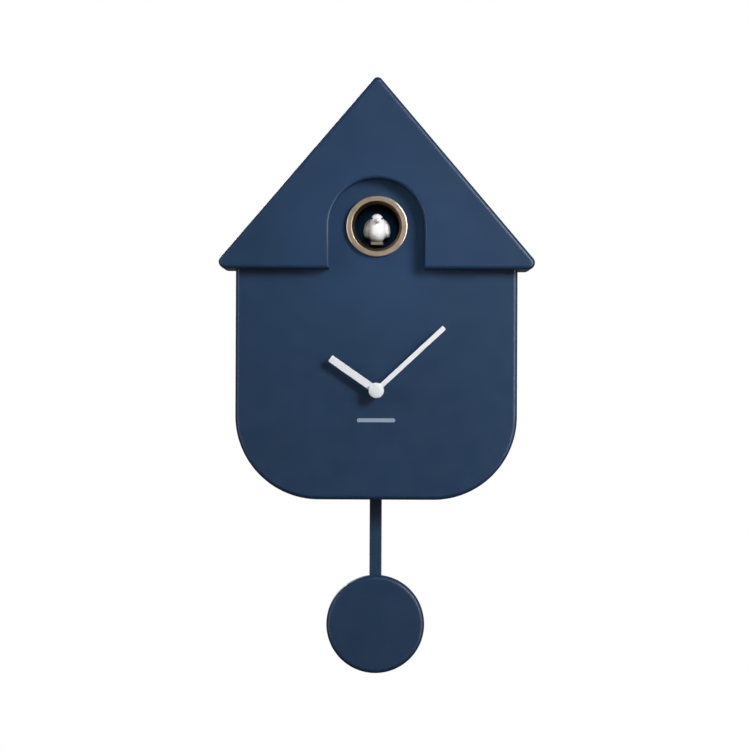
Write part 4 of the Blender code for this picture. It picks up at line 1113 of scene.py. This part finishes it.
def make_spring(name, x, y, side):
    """A cone of steel wire between the battery box's end wall and the cell's foot."""
    turns, wire_r, sides = 4.5, 0.00028, 10
    wall_r, cell_r = 0.0042, 0.0020
    wall_z, cell_z = 0.0285, 0.02555
    steps = int(turns * 24)
    centre = []
    for k in range(steps + 1):
        share = k / steps
        angle = 2 * math.pi * turns * share
        radius = wall_r - (wall_r - cell_r) * share
        centre.append(
            Vector(
                (
                    x + radius * math.cos(angle),
                    y + radius * math.sin(angle),
                    side * (wall_z + (cell_z - wall_z) * share),
                )
            )
        )
    bm = bmesh.new()
    loops = []
    for k, point in enumerate(centre):
        along = (centre[min(k + 1, steps)] - centre[max(k - 1, 0)]).normalized()
        out = Vector((point.x - x, point.y - y, 0)).normalized()
        up = along.cross(out).normalized()
        out = up.cross(along)
        loops.append(
            [
                bm.verts.new(point + (out * math.cos(a) + up * math.sin(a)) * wire_r)
                for a in [2 * math.pi * s / sides for s in range(sides)]
            ]
        )
    for a, b in zip(loops, loops[1:]):
        for s in range(sides):
            after = (s + 1) % sides
            bm.faces.new((a[s], a[after], b[after], b[s]))
    bm.faces.new(loops[0])
    bm.faces.new(loops[-1])
    spring = new_solid(bm)
    shaded(spring, 60, weighted=False)
    dressed(spring, name, "steel", "case")


# ---------------------------------------------------------------- solids that keep their shape
SOFT_EDGES = {
    "bird_carriage": 0.00025,
    "battery_box": 0.0003,
    "cuckoo_frame": 0.0003,
    "movement_front": 0.0004,
    "movement_back": 0.0004,
    "sound_board": 0.0002,
    "quartz_board": 0.0001,
    "stator": 0.0001,
    "step_coil": 0.0003,
    "pendulum_hanger": 0.0003,
}


def finish_solids():
    for node, obj in frame["nodes"].items():
        if obj.hide_render:
            continue
        for slot in obj.material_slots:
            slot.material = FINISHES[SLOT_OF[node]]
        weld = obj.modifiers.new("Weld", "WELD")
        weld.merge_threshold = 1e-6
        if node in SOFT_EDGES:
            bevel = obj.modifiers.new("Soft edges", "BEVEL")
            bevel.width = SOFT_EDGES[node]
            bevel.segments = 2
            bevel.limit_method = "ANGLE"
            bevel.angle_limit = math.radians(50)


# ---------------------------------------------------------------- stage
def make_floor():
    bm = bmesh.new()
    bmesh.ops.create_grid(bm, x_segments=1, y_segments=1, size=FLOOR_HALF)
    floor = new_solid(bm)
    floor.name = "floor"
    floor.location.z = FLOOR_Z
    s = Surface("floor_look", 0.8)
    s.colour(s.noise(0.2, 2.0), (0.80, 0.80, 0.80), (0.82, 0.82, 0.82))
    s.shader.inputs["Emission Color"].default_value = (1, 1, 1, 1)
    s.shader.inputs["Emission Strength"].default_value = 1.0
    floor.data.materials.append(s.material)
    floor.visible_diffuse = False
    floor.visible_glossy = False


def placed(name, light, place, target, matt=True, gloss=True):
    """Puts a light in its place and aims it. It may be left out of matt shading or of reflections."""
    obj = bpy.data.objects.new(name, light)
    obj.location = place
    obj.rotation_euler = (Vector(target) - Vector(place)).to_track_quat("-Z", "Y").to_euler()
    obj.visible_diffuse = matt
    obj.visible_glossy = gloss
    bpy.context.scene.collection.objects.link(obj)


def panel(name, place, target, size, watts, **seen_by):
    light = bpy.data.lights.new(name, "AREA")
    light.shape = "RECTANGLE"
    light.size, light.size_y = size
    light.energy = watts
    placed(name, light, place, target, **seen_by)


def spot(name, place, target, degrees, watts, **seen_by):
    light = bpy.data.lights.new(name, "SPOT")
    light.spot_size = math.radians(degrees)
    light.spot_blend = 1.0
    light.shadow_soft_size = 0.06
    light.energy = watts
    placed(name, light, place, target, **seen_by)


def make_world(seen, ambient):
    """A white backdrop for the camera and a dimmer even light for the object."""
    world = bpy.data.worlds.new("studio")
    bpy.context.scene.world = world
    world.use_nodes = True
    nodes, links = world.node_tree.nodes, world.node_tree.links
    nodes.clear()
    output = nodes.new("ShaderNodeOutputWorld")
    mix = nodes.new("ShaderNodeMixShader")
    path = nodes.new("ShaderNodeLightPath")
    links.new(path.outputs["Is Camera Ray"], mix.inputs["Fac"])
    for slot, level in ((1, ambient), (2, seen)):
        background = nodes.new("ShaderNodeBackground")
        background.inputs["Color"].default_value = (1, 1, 1, 1)
        background.inputs["Strength"].default_value = level
        links.new(background.outputs["Background"], mix.inputs[slot])
    links.new(mix.outputs["Shader"], output.inputs["Surface"])


def make_stage():
    make_floor()
    make_world(seen=1.0, ambient=0.14)
    face = (0, -0.08, 0.03)
    panel("key", (0.503, -0.679, 0.362), face, (0.28, 0.28), 7.2)
    panel("left", (-1.20, -0.72, 0.52), face, (0.5, 0.5), 6, gloss=False)
    panel("front", (0, -3.4, 0.3), face, (3, 3), 3.5, matt=False)
    panel("right_strip", (1.15, -1.05, 0.05), face, (0.25, 1.2), 20, matt=False)
    panel("left_strip", (-1.15, -1.05, 0.05), face, (0.25, 1.2), 11, matt=False)
    panel("back", (-0.9, 1.6, 0.9), face, (0.9, 0.9), 30)
    spot("glow", (0.06, -1.7, 0.20), (0.006, BODY_FRONT, 0.077), 2.6, 42, gloss=False)
    spot("port", (0.02, -1.7, 0.16), (0, BIRD_Y, PORT_Z), 2.2, 110, gloss=False)
    camera = bpy.data.objects.new("camera", bpy.data.cameras.new("camera"))
    camera.data.lens = CAMERA_LENS
    camera.data.sensor_width = CAMERA_SENSOR
    camera.data.clip_start = 0.1
    camera.data.clip_end = 50
    camera.location = CAMERA_PLACE
    camera.rotation_euler = (math.pi / 2, CAMERA_ROLL, 0)
    bpy.context.scene.collection.objects.link(camera)
    bpy.context.scene.camera = camera
    bpy.context.scene.view_settings.view_transform = "Standard"


make_body()
make_roof()
make_rear_cover()
make_screws()
make_port()
make_bird()
make_hands()
make_face_mark()
make_pendulum()
make_set_knob()
make_battery_door()
make_switches()
make_cells()
finish_solids()
make_stage()
